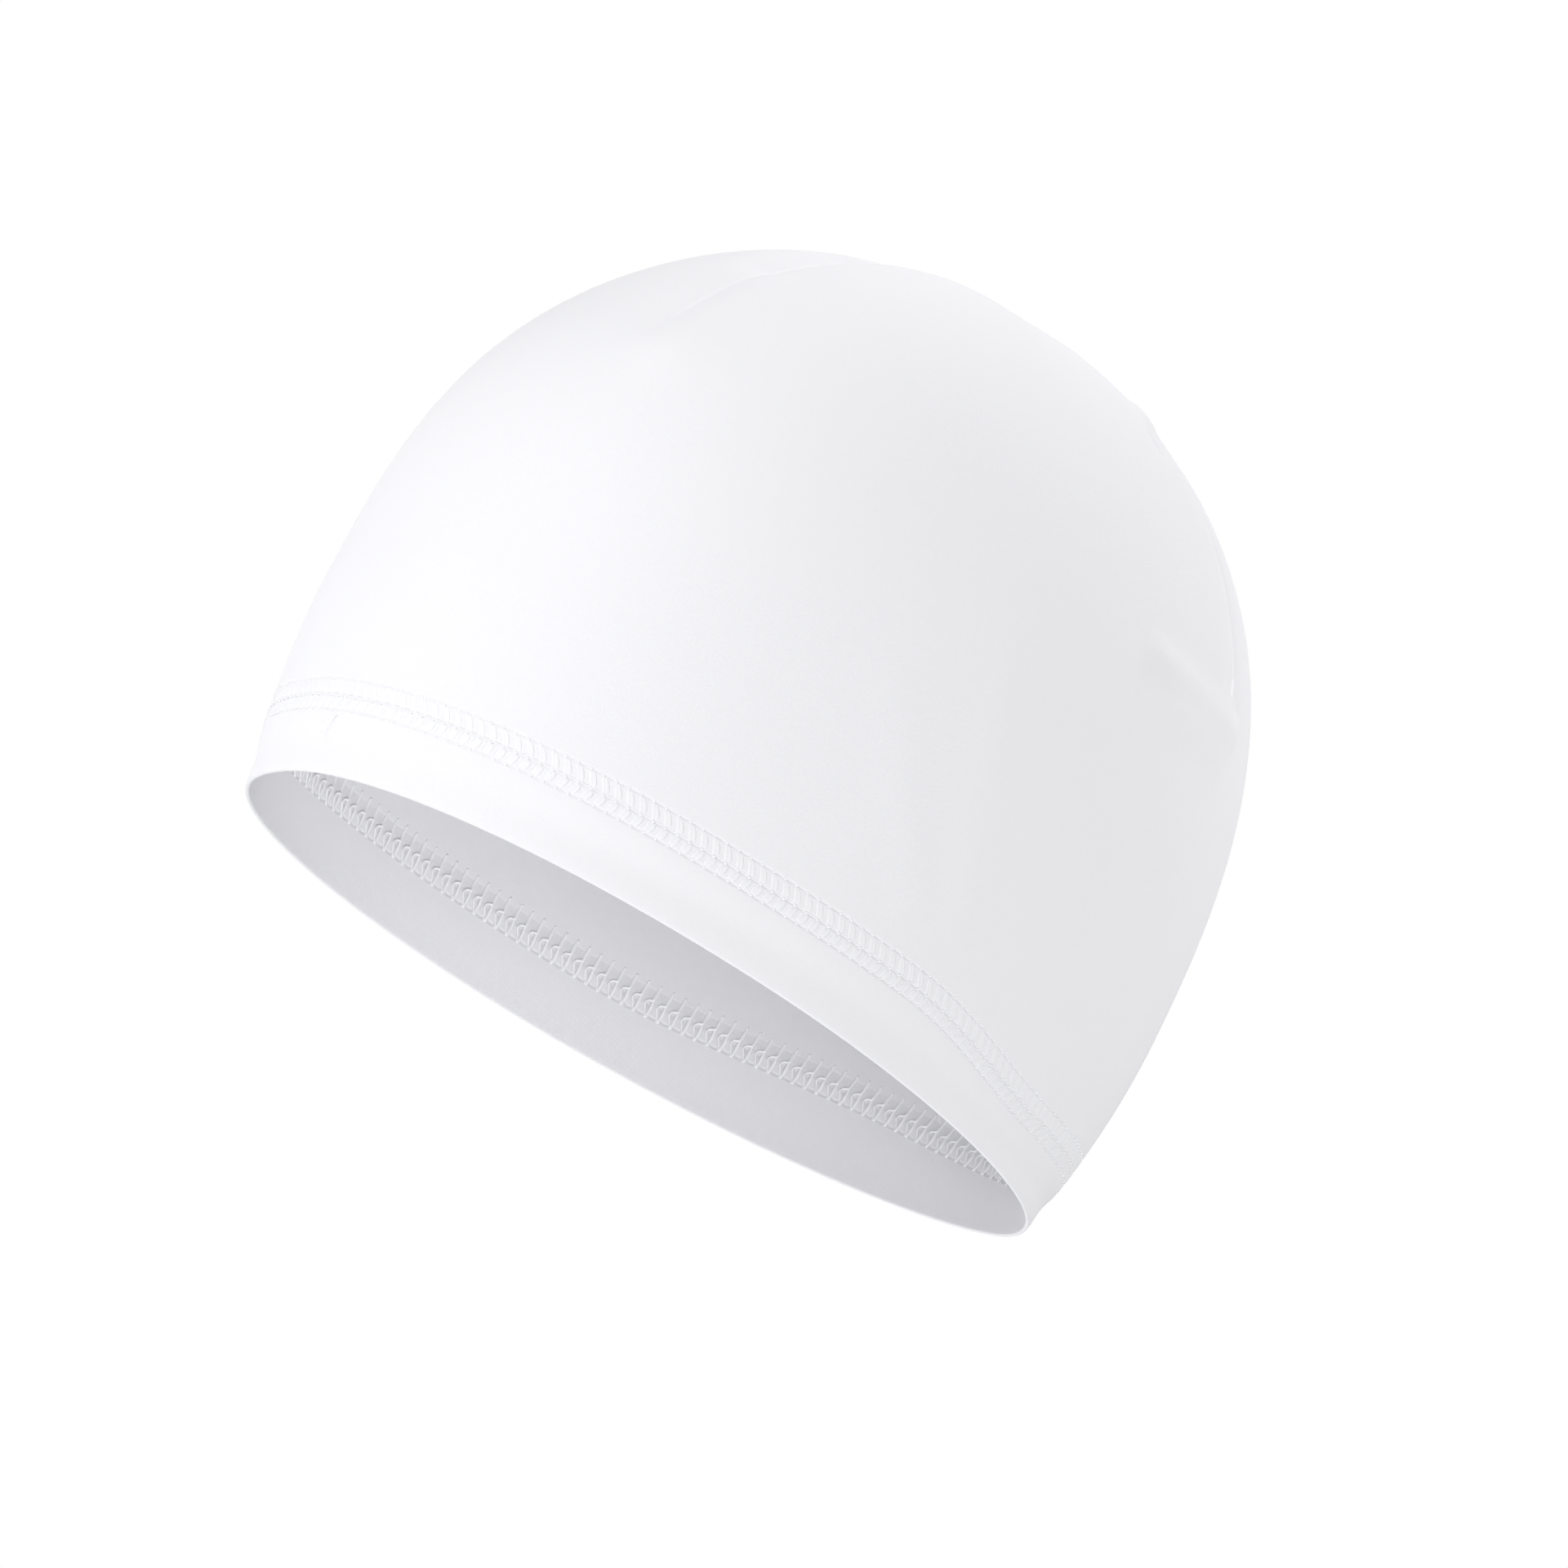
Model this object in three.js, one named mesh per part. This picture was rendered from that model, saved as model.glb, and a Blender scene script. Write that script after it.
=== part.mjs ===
// Helmet liner: a thin stretch-knit skull cap with four darts and a folded hem band.
// It has the shape that it takes on a head. Millimetres, +Z up, the front faces -Y,
// the wearer's left is +X. The origin is the centre of the head opening, level with the rim.

import * as THREE from "three";

// Plan of the cap at its widest, where the walls end
const HALF_LENGTH_FRONT = 98;
const HALF_LENGTH_BACK = 110.5;
const HALF_WIDTH = 80.5;
const PLAN_POWER_FRONT = 2.25; // 2 is an ellipse, more is squarer
const PLAN_POWER_BACK = 1.85;

// Side view: a nearly upright wall, then a dome
const HEIGHT = 172;
const WALL_HEIGHT = 52;
const WALL_SHARE = 0.25; // share of the way from rim to top that the wall takes
const DOME_POWER_UP = 2.64;
const DOME_POWER_FRONT = 1.51; // the forehead slopes back
const DOME_POWER_SIDE = 2;
const DOME_POWER_BACK = 2.74; // the back of the head is full
const TOP_SHIFT = -7; // how far the top lies forward of the opening's centre

// The hem draws the rim in: size of the rim against the wall's full size
const RIM_SHARE_FRONT = 0.926;
const RIM_SHARE_SIDE = 0.987;
const RIM_SHARE_BACK = 0.936;

// Darts: four seams that run from the top down to about two thirds of the height
const DART_ANGLE_LOW = 28.6; // degrees from the fore-and-aft line, at the wall
const DART_ANGLE_TOP = 42; // the same, where the four seams meet
const DART_TIP_HEIGHT = 108;
const DART_FADE = 14; // height over which a dart grows to its full depth
const DART_DEPTH_FRONT = 1.8;
const DART_DEPTH_BACK = 0.6;
const DART_WIDTH = 8;
const SHOULDER_LIFT_SIDE = 1.5; // the cloth puffs up beside the back seams, more on the side petals
const SHOULDER_LIFT_BACK = 0.7;
const SHOULDER_REACH = 5.5;
const TOP_CALM = 31; // the relief dies out within this radius of the top

// Cloth
const CLOTH = 1.0; // one layer of knit
const GAP = 0.35; // between neighbouring pieces

// Hem band: the knit folded double, its raw edge under a three-needle stitch
// Its depth from the rim to the top needle line wanders a little, as the sewing does. Plan
// angles are in degrees from the front round by the wearer's left.
const HEM_DEPTHS = [
  { angle: 0, depth: 19.6 },
  { angle: 75, depth: 20.4 },
  { angle: 111, depth: 21 },
  { angle: 142, depth: 17.2 },
  { angle: 172, depth: 18.8 },
  { angle: 215, depth: 24.4 },
  { angle: 255, depth: 22 },
  { angle: 300, depth: 22 },
  { angle: 360, depth: 19.6 },
];
const STITCH_WIDTH = 6.5;
const BAND_THICKNESS = 2 * CLOTH + 0.1;
const FOLD_HEIGHT = 1.1; // height over which the fold at the rim is rounded
const BAND_WAIST = 0.35; // the band dips between its fold and its stitches

// Seam allowance on the inside of each dart
const ALLOWANCE_WIDTH = 6;
const ALLOWANCE_THICKNESS = 1.2;
const ALLOWANCE_TAPER = 26; // length over which it widens from the dart's tip
const ALLOWANCE_GAP = 0.6; // to the crown, whose facets cut a little inside its true curve

// Mesh: columns run up each of the four petals between the darts
const PETAL_COLUMNS = [
  { petal: "front", columns: 16 },
  { petal: "left", columns: 28 },
  { petal: "back", columns: 16 },
  { petal: "right", columns: 28 },
];
const COLUMN_CROWDING = 0.085; // draws the columns closer together beside the darts
const CROWN_ROWS = 22;
const ALLOWANCE_FIRST_ROW = 8; // the crown's row at the dart's tip
const ALLOWANCE_LAST_ROW = 19; // short of the top, where the four seams run together
const ALLOWANCE_COLUMNS = 2;
const NORMAL_STEP = 0.002;

const { clamp, degToRad, lerp, radToDeg, smoothstep } = THREE.MathUtils;

// A value that changes smoothly round the cap, from its front to its sides and its back
function roundTheCap(angle, front, side, back) {
  const end = Math.cos(angle) > 0 ? front : back;
  return lerp(side, end, Math.cos(angle) ** 2);
}

function planRadius(angle) {
  const front = Math.cos(angle) > 0;
  const halfLength = front ? HALF_LENGTH_FRONT : HALF_LENGTH_BACK;
  const power = front ? PLAN_POWER_FRONT : PLAN_POWER_BACK;
  const across = Math.abs(Math.sin(angle) / HALF_WIDTH) ** power;
  const along = Math.abs(Math.cos(angle) / halfLength) ** power;
  return (across + along) ** (-1 / power);
}

// How far round the dome an up-value lies, from 0 at the wall to a right angle at the top
function domeTurn(up) {
  return clamp((up - WALL_SHARE) / (1 - WALL_SHARE), 0, 1) * Math.PI / 2;
}

function domeSpread(up, power) {
  return Math.max(0, Math.cos(domeTurn(up))) ** (2 / power);
}

// Plan angles of the four dart seams, from the front's left round to the front's right
function dartAngles(up) {
  const spread = domeSpread(up, DOME_POWER_SIDE);
  const dart = degToRad(lerp(DART_ANGLE_TOP, DART_ANGLE_LOW, spread));
  return [dart, Math.PI - dart, Math.PI + dart, 2 * Math.PI - dart];
}

// How far the cloth stands out from the plain dome beside and along the darts
function dartRelief(angle, up, radius, height) {
  const strength = smoothstep(height, DART_TIP_HEIGHT, DART_TIP_HEIGHT + DART_FADE)
    * smoothstep(radius, 0, TOP_CALM);
  let relief = 0;
  for (const seam of dartAngles(up)) {
    if (Math.cos(angle - seam) <= 0) continue;
    const away = Math.abs(Math.sin(angle - seam)) * radius;
    const atFront = Math.cos(seam) > 0;
    relief -= (atFront ? DART_DEPTH_FRONT : DART_DEPTH_BACK) * Math.exp(-away / DART_WIDTH);
    if (atFront) continue;
    const onSide = Math.abs(Math.sin(angle)) > Math.abs(Math.sin(seam));
    const lift = onSide ? SHOULDER_LIFT_SIDE : SHOULDER_LIFT_BACK;
    relief += lift * (away / SHOULDER_REACH) * Math.exp(1 - away / SHOULDER_REACH);
  }
  return relief * strength;
}

// Outer face of the cloth. angle is the plan angle from the front towards the wearer's
// left, up is 0 at the rim and 1 at the top.
function clothPoint(angle, up) {
  const inWall = up < WALL_SHARE;
  let height = WALL_HEIGHT * up / WALL_SHARE;
  let share;
  if (inWall) {
    const rimShare = roundTheCap(angle, RIM_SHARE_FRONT, RIM_SHARE_SIDE, RIM_SHARE_BACK);
    share = 1 - (1 - rimShare) * (1 - height / WALL_HEIGHT) ** 2;
  } else {
    height = WALL_HEIGHT + (HEIGHT - WALL_HEIGHT) * Math.sin(domeTurn(up)) ** (2 / DOME_POWER_UP);
    const power = roundTheCap(angle, DOME_POWER_FRONT, DOME_POWER_SIDE, DOME_POWER_BACK);
    share = domeSpread(up, power);
  }
  const radius = planRadius(angle) * share;
  const climb = clamp((height - WALL_HEIGHT) / (HEIGHT - WALL_HEIGHT), 0, 1);
  const relief = dartRelief(angle, up, radius, height);
  const outward = radius + relief * Math.sqrt(1 - climb * climb);
  return new THREE.Vector3(
    outward * Math.sin(angle),
    -outward * Math.cos(angle) + TOP_SHIFT * (height / HEIGHT) ** 2,
    height + relief * climb,
  );
}

// A point at a depth below the outer face, measured square to the cloth
function clothPointBelow(angle, up, depth) {
  const point = clothPoint(angle, up);
  if (up > 1 - NORMAL_STEP) return point.setZ(point.z - depth);
  const along = clothPoint(angle + NORMAL_STEP, up).sub(clothPoint(angle - NORMAL_STEP, up));
  const climbing = clothPoint(angle, up + NORMAL_STEP).sub(clothPoint(angle, Math.max(0, up - NORMAL_STEP)));
  const normal = along.cross(climbing).normalize();
  return point.addScaledVector(normal, -depth);
}

function upAtHeight(height) {
  return WALL_SHARE * height / WALL_HEIGHT;
}

// The plan angles of all columns at an up-value, with a column on each dart
function columnAngles(up) {
  const darts = dartAngles(up);
  const angles = [];
  PETAL_COLUMNS.forEach(({ columns }, index) => {
    const start = index === 0 ? darts[3] - 2 * Math.PI : darts[index - 1];
    const end = darts[index];
    for (let column = 0; column < columns; column += 1) {
      const even = column / columns;
      angles.push(lerp(start, end, even - COLUMN_CROWDING * Math.sin(2 * Math.PI * even)));
    }
  });
  return angles;
}

// Turns rows of points into a closed body. Each row is a ring of the same length. The
// rings run so that walking round them and then on to the next row turns outward.
function ringBody(rings, closedProfile, firstPole, lastPole) {
  const count = rings[0].length;
  const positions = rings.flat().flatMap((point) => point.toArray());
  const faces = [];
  const steps = closedProfile ? rings.length : rings.length - 1;
  for (let row = 0; row < steps; row += 1) {
    const here = row * count;
    const above = ((row + 1) % rings.length) * count;
    for (let column = 0; column < count; column += 1) {
      const right = (column + 1) % count;
      faces.push(here + column, here + right, above + right);
      faces.push(here + column, above + right, above + column);
    }
  }
  for (const [pole, ring, turned] of [[firstPole, 0, true], [lastPole, rings.length - 1, false]]) {
    if (!pole) continue;
    const centre = positions.length / 3;
    positions.push(...pole.toArray());
    for (let column = 0; column < count; column += 1) {
      const a = ring * count + column;
      const b = ring * count + (column + 1) % count;
      faces.push(...(turned ? [b, a, centre] : [a, b, centre]));
    }
  }
  const geometry = new THREE.BufferGeometry();
  geometry.setAttribute("position", new THREE.Float32BufferAttribute(positions, 3));
  geometry.setIndex(faces);
  geometry.computeVertexNormals();
  return geometry;
}

function hemDepth(angle) {
  const degrees = ((radToDeg(angle) % 360) + 360) % 360;
  const next = HEM_DEPTHS.findIndex((place) => place.angle > degrees);
  const before = HEM_DEPTHS[next - 1];
  const after = HEM_DEPTHS[next];
  return lerp(before.depth, after.depth, smoothstep(degrees, before.angle, after.angle));
}

// Height where the crown's edge meets the band's outer layer, under the middle needle line
function jointHeight(angle) {
  return hemDepth(angle) - STITCH_WIDTH / 2;
}

// Where a row of the crown lies at a plan angle: the lowest row follows the joint, and the
// rest settle to level rings
function crownUp(angle, row) {
  return lerp(upAtHeight(jointHeight(angle) + GAP), 1, row / CROWN_ROWS);
}

// The crown: one layer, open below. Its rings run down the inside and up the outside.
function crownGeometry() {
  const ring = (row, depth) => (
    columnAngles(crownUp(0, row)).map((angle) => clothPointBelow(angle, crownUp(angle, row), depth))
  );
  const inside = [];
  const outside = [];
  for (let row = 0; row < CROWN_ROWS; row += 1) {
    inside.unshift(ring(row, CLOTH));
    outside.push(ring(row, 0));
  }
  const top = clothPoint(0, 1);
  return ringBody([...inside, ...outside], false, clothPointBelow(0, 1, CLOTH), top);
}

// The hem band: a folded double layer. Its inner layer laps up inside the crown's edge.
function bandGeometry() {
  const lapDepth = CLOTH + GAP;
  // Each row of the section: height as a share of the joint's or the hem's height plus
  // millimetres, and depth below the outer face
  const section = [
    { reach: "joint", share: 0, add: 0, depth: BAND_THICKNESS / 2 },
    { reach: "joint", share: 0, add: 0.3 * FOLD_HEIGHT, depth: 0.14 * BAND_THICKNESS },
    { reach: "joint", share: 0, add: FOLD_HEIGHT, depth: 0 },
    { reach: "joint", share: 0.5, add: 0, depth: BAND_WAIST },
    { reach: "joint", share: 1, add: 0, depth: 0 },
    { reach: "joint", share: 1, add: 0, depth: lapDepth },
    { reach: "hem", share: 1, add: 0, depth: lapDepth },
    { reach: "hem", share: 1, add: 0, depth: BAND_THICKNESS },
    { reach: "joint", share: 0.5, add: 0, depth: BAND_THICKNESS },
    { reach: "joint", share: 0, add: FOLD_HEIGHT, depth: BAND_THICKNESS },
    { reach: "joint", share: 0, add: 0.3 * FOLD_HEIGHT, depth: 0.86 * BAND_THICKNESS },
  ];
  const rings = section.map(({ reach, share, add, depth }) => (
    columnAngles(0).map((angle) => {
      const full = reach === "hem" ? hemDepth(angle) : jointHeight(angle);
      return clothPointBelow(angle, upAtHeight(share * full + add), depth);
    })
  ));
  return ringBody(rings, true);
}

// A seam allowance: a closed strip that follows its dart on the inside of the crown
function allowanceGeometry(dart) {
  const rings = [];
  let tip;
  for (let row = ALLOWANCE_FIRST_ROW; row <= ALLOWANCE_LAST_ROW; row += 1) {
    const seam = dartAngles(crownUp(0, row))[dart];
    const up = crownUp(seam, row);
    const middle = clothPoint(seam, up);
    tip = tip ?? middle;
    const widening = smoothstep(middle.distanceTo(tip), -ALLOWANCE_TAPER / 4, ALLOWANCE_TAPER);
    const halfTurn = widening * ALLOWANCE_WIDTH / 2 / Math.hypot(middle.x, middle.y);
    const outer = [];
    const inner = [];
    for (let column = 0; column <= ALLOWANCE_COLUMNS; column += 1) {
      const angle = seam + lerp(-halfTurn, halfTurn, column / ALLOWANCE_COLUMNS);
      const depth = CLOTH + ALLOWANCE_GAP;
      outer.push(clothPointBelow(angle, up, depth));
      inner.unshift(clothPointBelow(angle, up, depth + ALLOWANCE_THICKNESS));
    }
    rings.push([...outer, ...inner]);
  }
  return ringBody(rings, false, ringCentre(rings[0]), ringCentre(rings.at(-1)));
}

function ringCentre(ring) {
  const sum = new THREE.Vector3();
  ring.forEach((point) => sum.add(point));
  return sum.divideScalar(ring.length);
}

function piece(name, geometry, color, roughness) {
  const material = new THREE.MeshStandardMaterial({ color, roughness, metalness: 0 });
  const mesh = new THREE.Mesh(geometry, material);
  mesh.name = name;
  return mesh;
}

const KNIT_WHITE = 0xf4f6fa;
const THREAD_WHITE = 0xf8f8f6;
const DART_NAMES = ["front_left", "back_left", "back_right", "front_right"];

const liner = new THREE.Group();
liner.add(piece("crown", crownGeometry(), KNIT_WHITE, 0.85));
liner.add(piece("hem_band", bandGeometry(), KNIT_WHITE, 0.85));
DART_NAMES.forEach((name, dart) => {
  liner.add(piece(`dart_seam_${name}`, allowanceGeometry(dart), THREAD_WHITE, 0.7));
});

export default liner;
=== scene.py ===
"""A helmet liner: a white skull cap of thin stretch knit, shaped by four darts, with a folded
hem under a three-needle cover stitch. The cloth, its stitches and their finishes are made
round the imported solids, in the same frame. Shapes are worked out in millimetres, +Z up, the
front facing -Y and the wearer's left +X, and are made in metres.
"""

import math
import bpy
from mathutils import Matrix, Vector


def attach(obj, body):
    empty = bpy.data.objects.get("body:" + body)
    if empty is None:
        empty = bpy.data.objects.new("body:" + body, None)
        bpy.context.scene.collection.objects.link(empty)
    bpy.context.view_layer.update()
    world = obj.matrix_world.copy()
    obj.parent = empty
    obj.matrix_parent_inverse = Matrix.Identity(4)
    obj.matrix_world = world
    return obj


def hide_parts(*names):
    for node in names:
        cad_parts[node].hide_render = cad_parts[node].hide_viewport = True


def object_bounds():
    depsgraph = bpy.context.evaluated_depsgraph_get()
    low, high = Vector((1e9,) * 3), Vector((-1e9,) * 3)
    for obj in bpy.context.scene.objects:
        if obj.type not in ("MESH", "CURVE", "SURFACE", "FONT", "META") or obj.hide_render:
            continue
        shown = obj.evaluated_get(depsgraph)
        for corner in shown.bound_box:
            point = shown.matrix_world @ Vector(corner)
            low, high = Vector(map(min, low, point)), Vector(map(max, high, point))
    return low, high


bl_info = {
    "name": "Helmet Liner",
    "version": (1, 0, 0),
    "blender": (4, 5, 0),
    "location": "View3D > Sidebar > Helmet Liner",
    "description": "Builds the cloth, hem stitches and dart seams of a knit helmet liner",
    "category": "Add Mesh",
}

import bpy
import numpy as np
from mathutils import Matrix, Vector

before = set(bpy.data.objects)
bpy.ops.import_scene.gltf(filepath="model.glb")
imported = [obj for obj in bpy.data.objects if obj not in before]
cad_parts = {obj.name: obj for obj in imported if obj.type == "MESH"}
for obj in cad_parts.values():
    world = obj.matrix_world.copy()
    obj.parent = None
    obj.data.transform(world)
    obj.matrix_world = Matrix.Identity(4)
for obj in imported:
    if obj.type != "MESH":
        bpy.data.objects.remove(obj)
CAD_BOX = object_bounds()
BODY = "root"
MM = 0.001


def table(columns, *rows):
    """A short table of numbers, as named columns."""
    return dict(zip(columns.split(), np.array(rows, float).T))


# Plan of the cap at its widest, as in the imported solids
HALF_LENGTH_FRONT = 98
HALF_LENGTH_BACK = 110.5
HALF_WIDTH = 80.5
PLAN_POWER_FRONT = 2.25
PLAN_POWER_BACK = 1.85

# Side view: a nearly upright wall, then a dome
HEIGHT = 172
WALL_HEIGHT = 52
WALL_SHARE = 0.25
DOME_POWER_UP = 2.64
DOME_POWER_FRONT = 1.51
DOME_POWER_SIDE = 2
DOME_POWER_BACK = 2.74
TOP_SHIFT = -7

# The hem draws the rim in
RIM_SHARE_FRONT = 0.926
RIM_SHARE_SIDE = 0.987
RIM_SHARE_BACK = 0.936

# Darts
DART_ANGLE_LOW = math.radians(28.6)
DART_ANGLE_TOP = math.radians(42)
DART_TIP_HEIGHT = 108
DART_FADE = 14
DART_DEPTH_FRONT = 1.8
DART_DEPTH_BACK = 0.6
DART_WIDTH = 8
SHOULDER_LIFT_SIDE = 1.5
SHOULDER_LIFT_BACK = 0.7
SHOULDER_REACH = 5.5
TOP_CALM = 31
DART_NAMES = ("front_left", "back_left", "back_right", "front_right")
BACK_DARTS = (1, 2)

# Hem band
HEM_DEPTHS = table(
    "angle depth",
    (0, 19.6), (75, 20.4), (111, 21), (142, 17.2), (172, 18.8), (215, 24.4), (255, 22), (300, 22),
    (360, 19.6))
STITCH_WIDTH = 6.5
FOLD_HEIGHT = 0.5
RAW_EDGE = 0.8  # the inner layer's raw edge lies this far above the top needle line

# Mesh: columns of each petal, from the front right dart round by the front
PETALS = (
    {"petal": "front", "columns": 66},
    {"petal": "left", "columns": 121},
    {"petal": "back", "columns": 66},
    {"petal": "right", "columns": 121},
)
COLUMNS = sum(row["columns"] for row in PETALS)
STITCH_DETAIL = 3  # the stitched rows have this many times as many columns
SEAM_CROWDING = 0.8  # how much closer the columns lie beside a dart seam
CROWD_FROM, CROWD_TO = 66, 100  # heights between which the columns gather to the seams
NORMAL_STEP = 0.002


def smoothstep(value, low, high):
    share = np.clip((value - low) / (high - low), 0, 1)
    return share * share * (3 - 2 * share)


def lerp(start, end, share):
    return start + (end - start) * share


def bell(away, width):
    return np.exp(-((away / width) ** 2))


def unit(vectors):
    return vectors / np.linalg.norm(vectors, axis=-1, keepdims=True)


def round_the_cap(angle, front, side, back):
    """A value that changes smoothly from the front to the sides and the back."""
    end = np.where(np.cos(angle) > 0, front, back)
    return lerp(side, end, np.cos(angle) ** 2)


def plan_radius(angle):
    front = np.cos(angle) > 0
    half_length = np.where(front, HALF_LENGTH_FRONT, HALF_LENGTH_BACK)
    power = np.where(front, PLAN_POWER_FRONT, PLAN_POWER_BACK)
    across = np.abs(np.sin(angle) / HALF_WIDTH) ** power
    along = np.abs(np.cos(angle) / half_length) ** power
    return (across + along) ** (-1 / power)


def dome_turn(up):
    return np.clip((up - WALL_SHARE) / (1 - WALL_SHARE), 0, 1) * math.pi / 2


def dome_spread(up, power):
    return np.clip(np.cos(dome_turn(up)), 0, 1) ** (2 / power)


def cap_height(up):
    dome = np.sin(dome_turn(up)) ** (2 / DOME_POWER_UP)
    return np.where(up < WALL_SHARE, WALL_HEIGHT * up / WALL_SHARE, lerp(WALL_HEIGHT, HEIGHT, dome))


def dart_angles(up):
    """Plan angles of the four seams, from the front left round to the front right."""
    dart = lerp(DART_ANGLE_TOP, DART_ANGLE_LOW, dome_spread(up, DOME_POWER_SIDE))
    return [dart, math.pi - dart, math.pi + dart, 2 * math.pi - dart]


def dart_relief(angle, up, radius, height):
    """How far the cloth stands out from the plain dome beside and along the darts."""
    grown = smoothstep(height, DART_TIP_HEIGHT, DART_TIP_HEIGHT + DART_FADE)
    relief = np.zeros_like(radius)
    for index, seam in enumerate(dart_angles(up)):
        away = np.abs(np.sin(angle - seam)) * radius
        depth = DART_DEPTH_BACK if index in BACK_DARTS else DART_DEPTH_FRONT
        part = -depth * np.exp(-away / DART_WIDTH)
        if index in BACK_DARTS:
            on_side = np.abs(np.sin(angle)) > np.abs(np.sin(seam))
            lift = np.where(on_side, SHOULDER_LIFT_SIDE, SHOULDER_LIFT_BACK)
            part = part + lift * (away / SHOULDER_REACH) * np.exp(1 - away / SHOULDER_REACH)
        relief = relief + np.where(np.cos(angle - seam) > 0, part, 0)
    return relief * grown * smoothstep(radius, 0, TOP_CALM)


def cloth_point(angle, up):
    """Outer face of the cloth. up is 0 at the rim and 1 at the top."""
    angle, up = np.broadcast_arrays(np.asarray(angle, float), np.asarray(up, float))
    height = cap_height(up)
    rim_share = round_the_cap(angle, RIM_SHARE_FRONT, RIM_SHARE_SIDE, RIM_SHARE_BACK)
    wall = 1 - (1 - rim_share) * (1 - height / WALL_HEIGHT) ** 2
    power = round_the_cap(angle, DOME_POWER_FRONT, DOME_POWER_SIDE, DOME_POWER_BACK)
    radius = plan_radius(angle) * np.where(up < WALL_SHARE, wall, dome_spread(up, power))
    climb = np.clip((height - WALL_HEIGHT) / (HEIGHT - WALL_HEIGHT), 0, 1)
    relief = dart_relief(angle, up, radius, height)
    outward = radius + relief * np.sqrt(1 - climb**2)
    lean = TOP_SHIFT * (height / HEIGHT) ** 2
    return np.stack([outward * np.sin(angle), -outward * np.cos(angle) + lean, height + relief * climb], -1)


def cloth_frame(angle, up):
    """Points of the cloth's outer face and the directions square to it."""
    angle, up = np.broadcast_arrays(np.asarray(angle, float), np.asarray(up, float))
    along = cloth_point(angle + NORMAL_STEP, up) - cloth_point(angle - NORMAL_STEP, up)
    above = np.minimum(up + NORMAL_STEP, 1)
    climbing = cloth_point(angle, above) - cloth_point(angle, np.maximum(up - NORMAL_STEP, 0))
    outward = unit(np.cross(along, climbing))
    outward[up > 1 - NORMAL_STEP] = (0, 0, 1)
    return cloth_point(angle, up), outward


def up_at_height(height):
    """The up of a height on the wall."""
    return WALL_SHARE * height / WALL_HEIGHT


def up_on_cap(height, steps):
    """The up of any height, found in so many steps."""
    ups = np.linspace(0, 1, steps)
    return np.interp(height, cap_height(ups), ups)


def hem_depth(angle):
    """From the rim to the top needle line. It wanders a little, as the sewing does."""
    degrees = (np.degrees(np.asarray(angle, float)) + 360) % 360
    stations, depths = HEM_DEPTHS["angle"], HEM_DEPTHS["depth"]
    before = np.searchsorted(stations, degrees, side="right") - 1
    share = smoothstep(degrees, stations[before], stations[before + 1])
    return lerp(depths[before], depths[before + 1], share)


def joint_height(angle):
    """Height where the crown's edge meets the hem band, beside the middle needle line."""
    return hem_depth(angle) - STITCH_WIDTH / 2


class HemLine:
    """Distances round the cap along the joint of crown and hem, from the front's middle."""

    steps = 8001
    angles = np.linspace(-math.pi, 3 * math.pi, steps)
    points = cloth_point(angles, up_at_height(joint_height(angles)))
    lengths = np.concatenate([[0], np.cumsum(np.linalg.norm(np.diff(points, axis=0), axis=1))])
    lengths = lengths - np.interp(0, angles, lengths)
    total = float(np.interp(2 * math.pi, angles, lengths))

    @classmethod
    def angle_at(cls, distance):
        return np.interp(distance, cls.lengths, cls.angles)

    @classmethod
    def distance_at(cls, angle):
        return np.interp(angle, cls.angles, cls.lengths)


# Soft folds of the cloth, each a ridge (lift above 0) or a valley between two places that are
# given by plan angle in degrees and height. It fades over its width. Folds that belong to the
# way the darts are sewn are on both sides of the cap.
FOLDS = (
    {"place": "end of the back dart", "start": (151, 110.5), "end": (127, 108.6),
     "width": 3.0, "lift": 1.6, "both": True},
    {"place": "fullness below it", "start": (148, 104.5), "end": (133, 103),
     "width": 5, "lift": 0.8, "both": True},
    {"place": "slit above it", "start": (152, 116.8), "end": (146, 118),
     "width": 0.8, "lift": -0.7, "both": True},
    {"place": "shoulder of the back dart", "start": (137, 162), "end": (137, 160),
     "width": 2.4, "lift": 0.9, "both": True},
    {"place": "notch below it", "start": (133.5, 156), "end": (134, 154),
     "width": 1.5, "lift": -0.5, "both": True},
    {"place": "edge of the side petal", "start": (34, 110), "end": (36, 134),
     "width": 7, "lift": 0.9, "both": True},
    {"place": "dip of the front dart", "start": (30, 143), "end": (33, 157),
     "width": 5, "lift": -0.9, "both": True},
    {"place": "draw beside the hem", "start": (86, 65), "end": (103, 32),
     "width": 5, "lift": 0.35, "both": False},
    {"place": "draw behind it", "start": (100, 87), "end": (112, 34),
     "width": 6, "lift": 0.4, "both": False},
    {"place": "draw at the back", "start": (130, 70), "end": (136, 40),
     "width": 6, "lift": 0.4, "both": False},
)


FOLD_STEPS = 2001


def place_on_cap(degrees, height):
    return cloth_point(math.radians(degrees), up_on_cap(height, FOLD_STEPS))


def fold_relief(points):
    relief = np.zeros(points.shape[:-1])
    for fold in FOLDS:
        for side in (1, -1) if fold["both"] else (1,):
            start = place_on_cap(side * fold["start"][0], fold["start"][1])
            line = place_on_cap(side * fold["end"][0], fold["end"][1]) - start
            along = np.clip((points - start) @ line / (line @ line), 0, 1)
            away = np.linalg.norm(points - start - along[..., None] * line, axis=-1)
            relief = relief + fold["lift"] * bell(away, fold["width"])
    return relief


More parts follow.
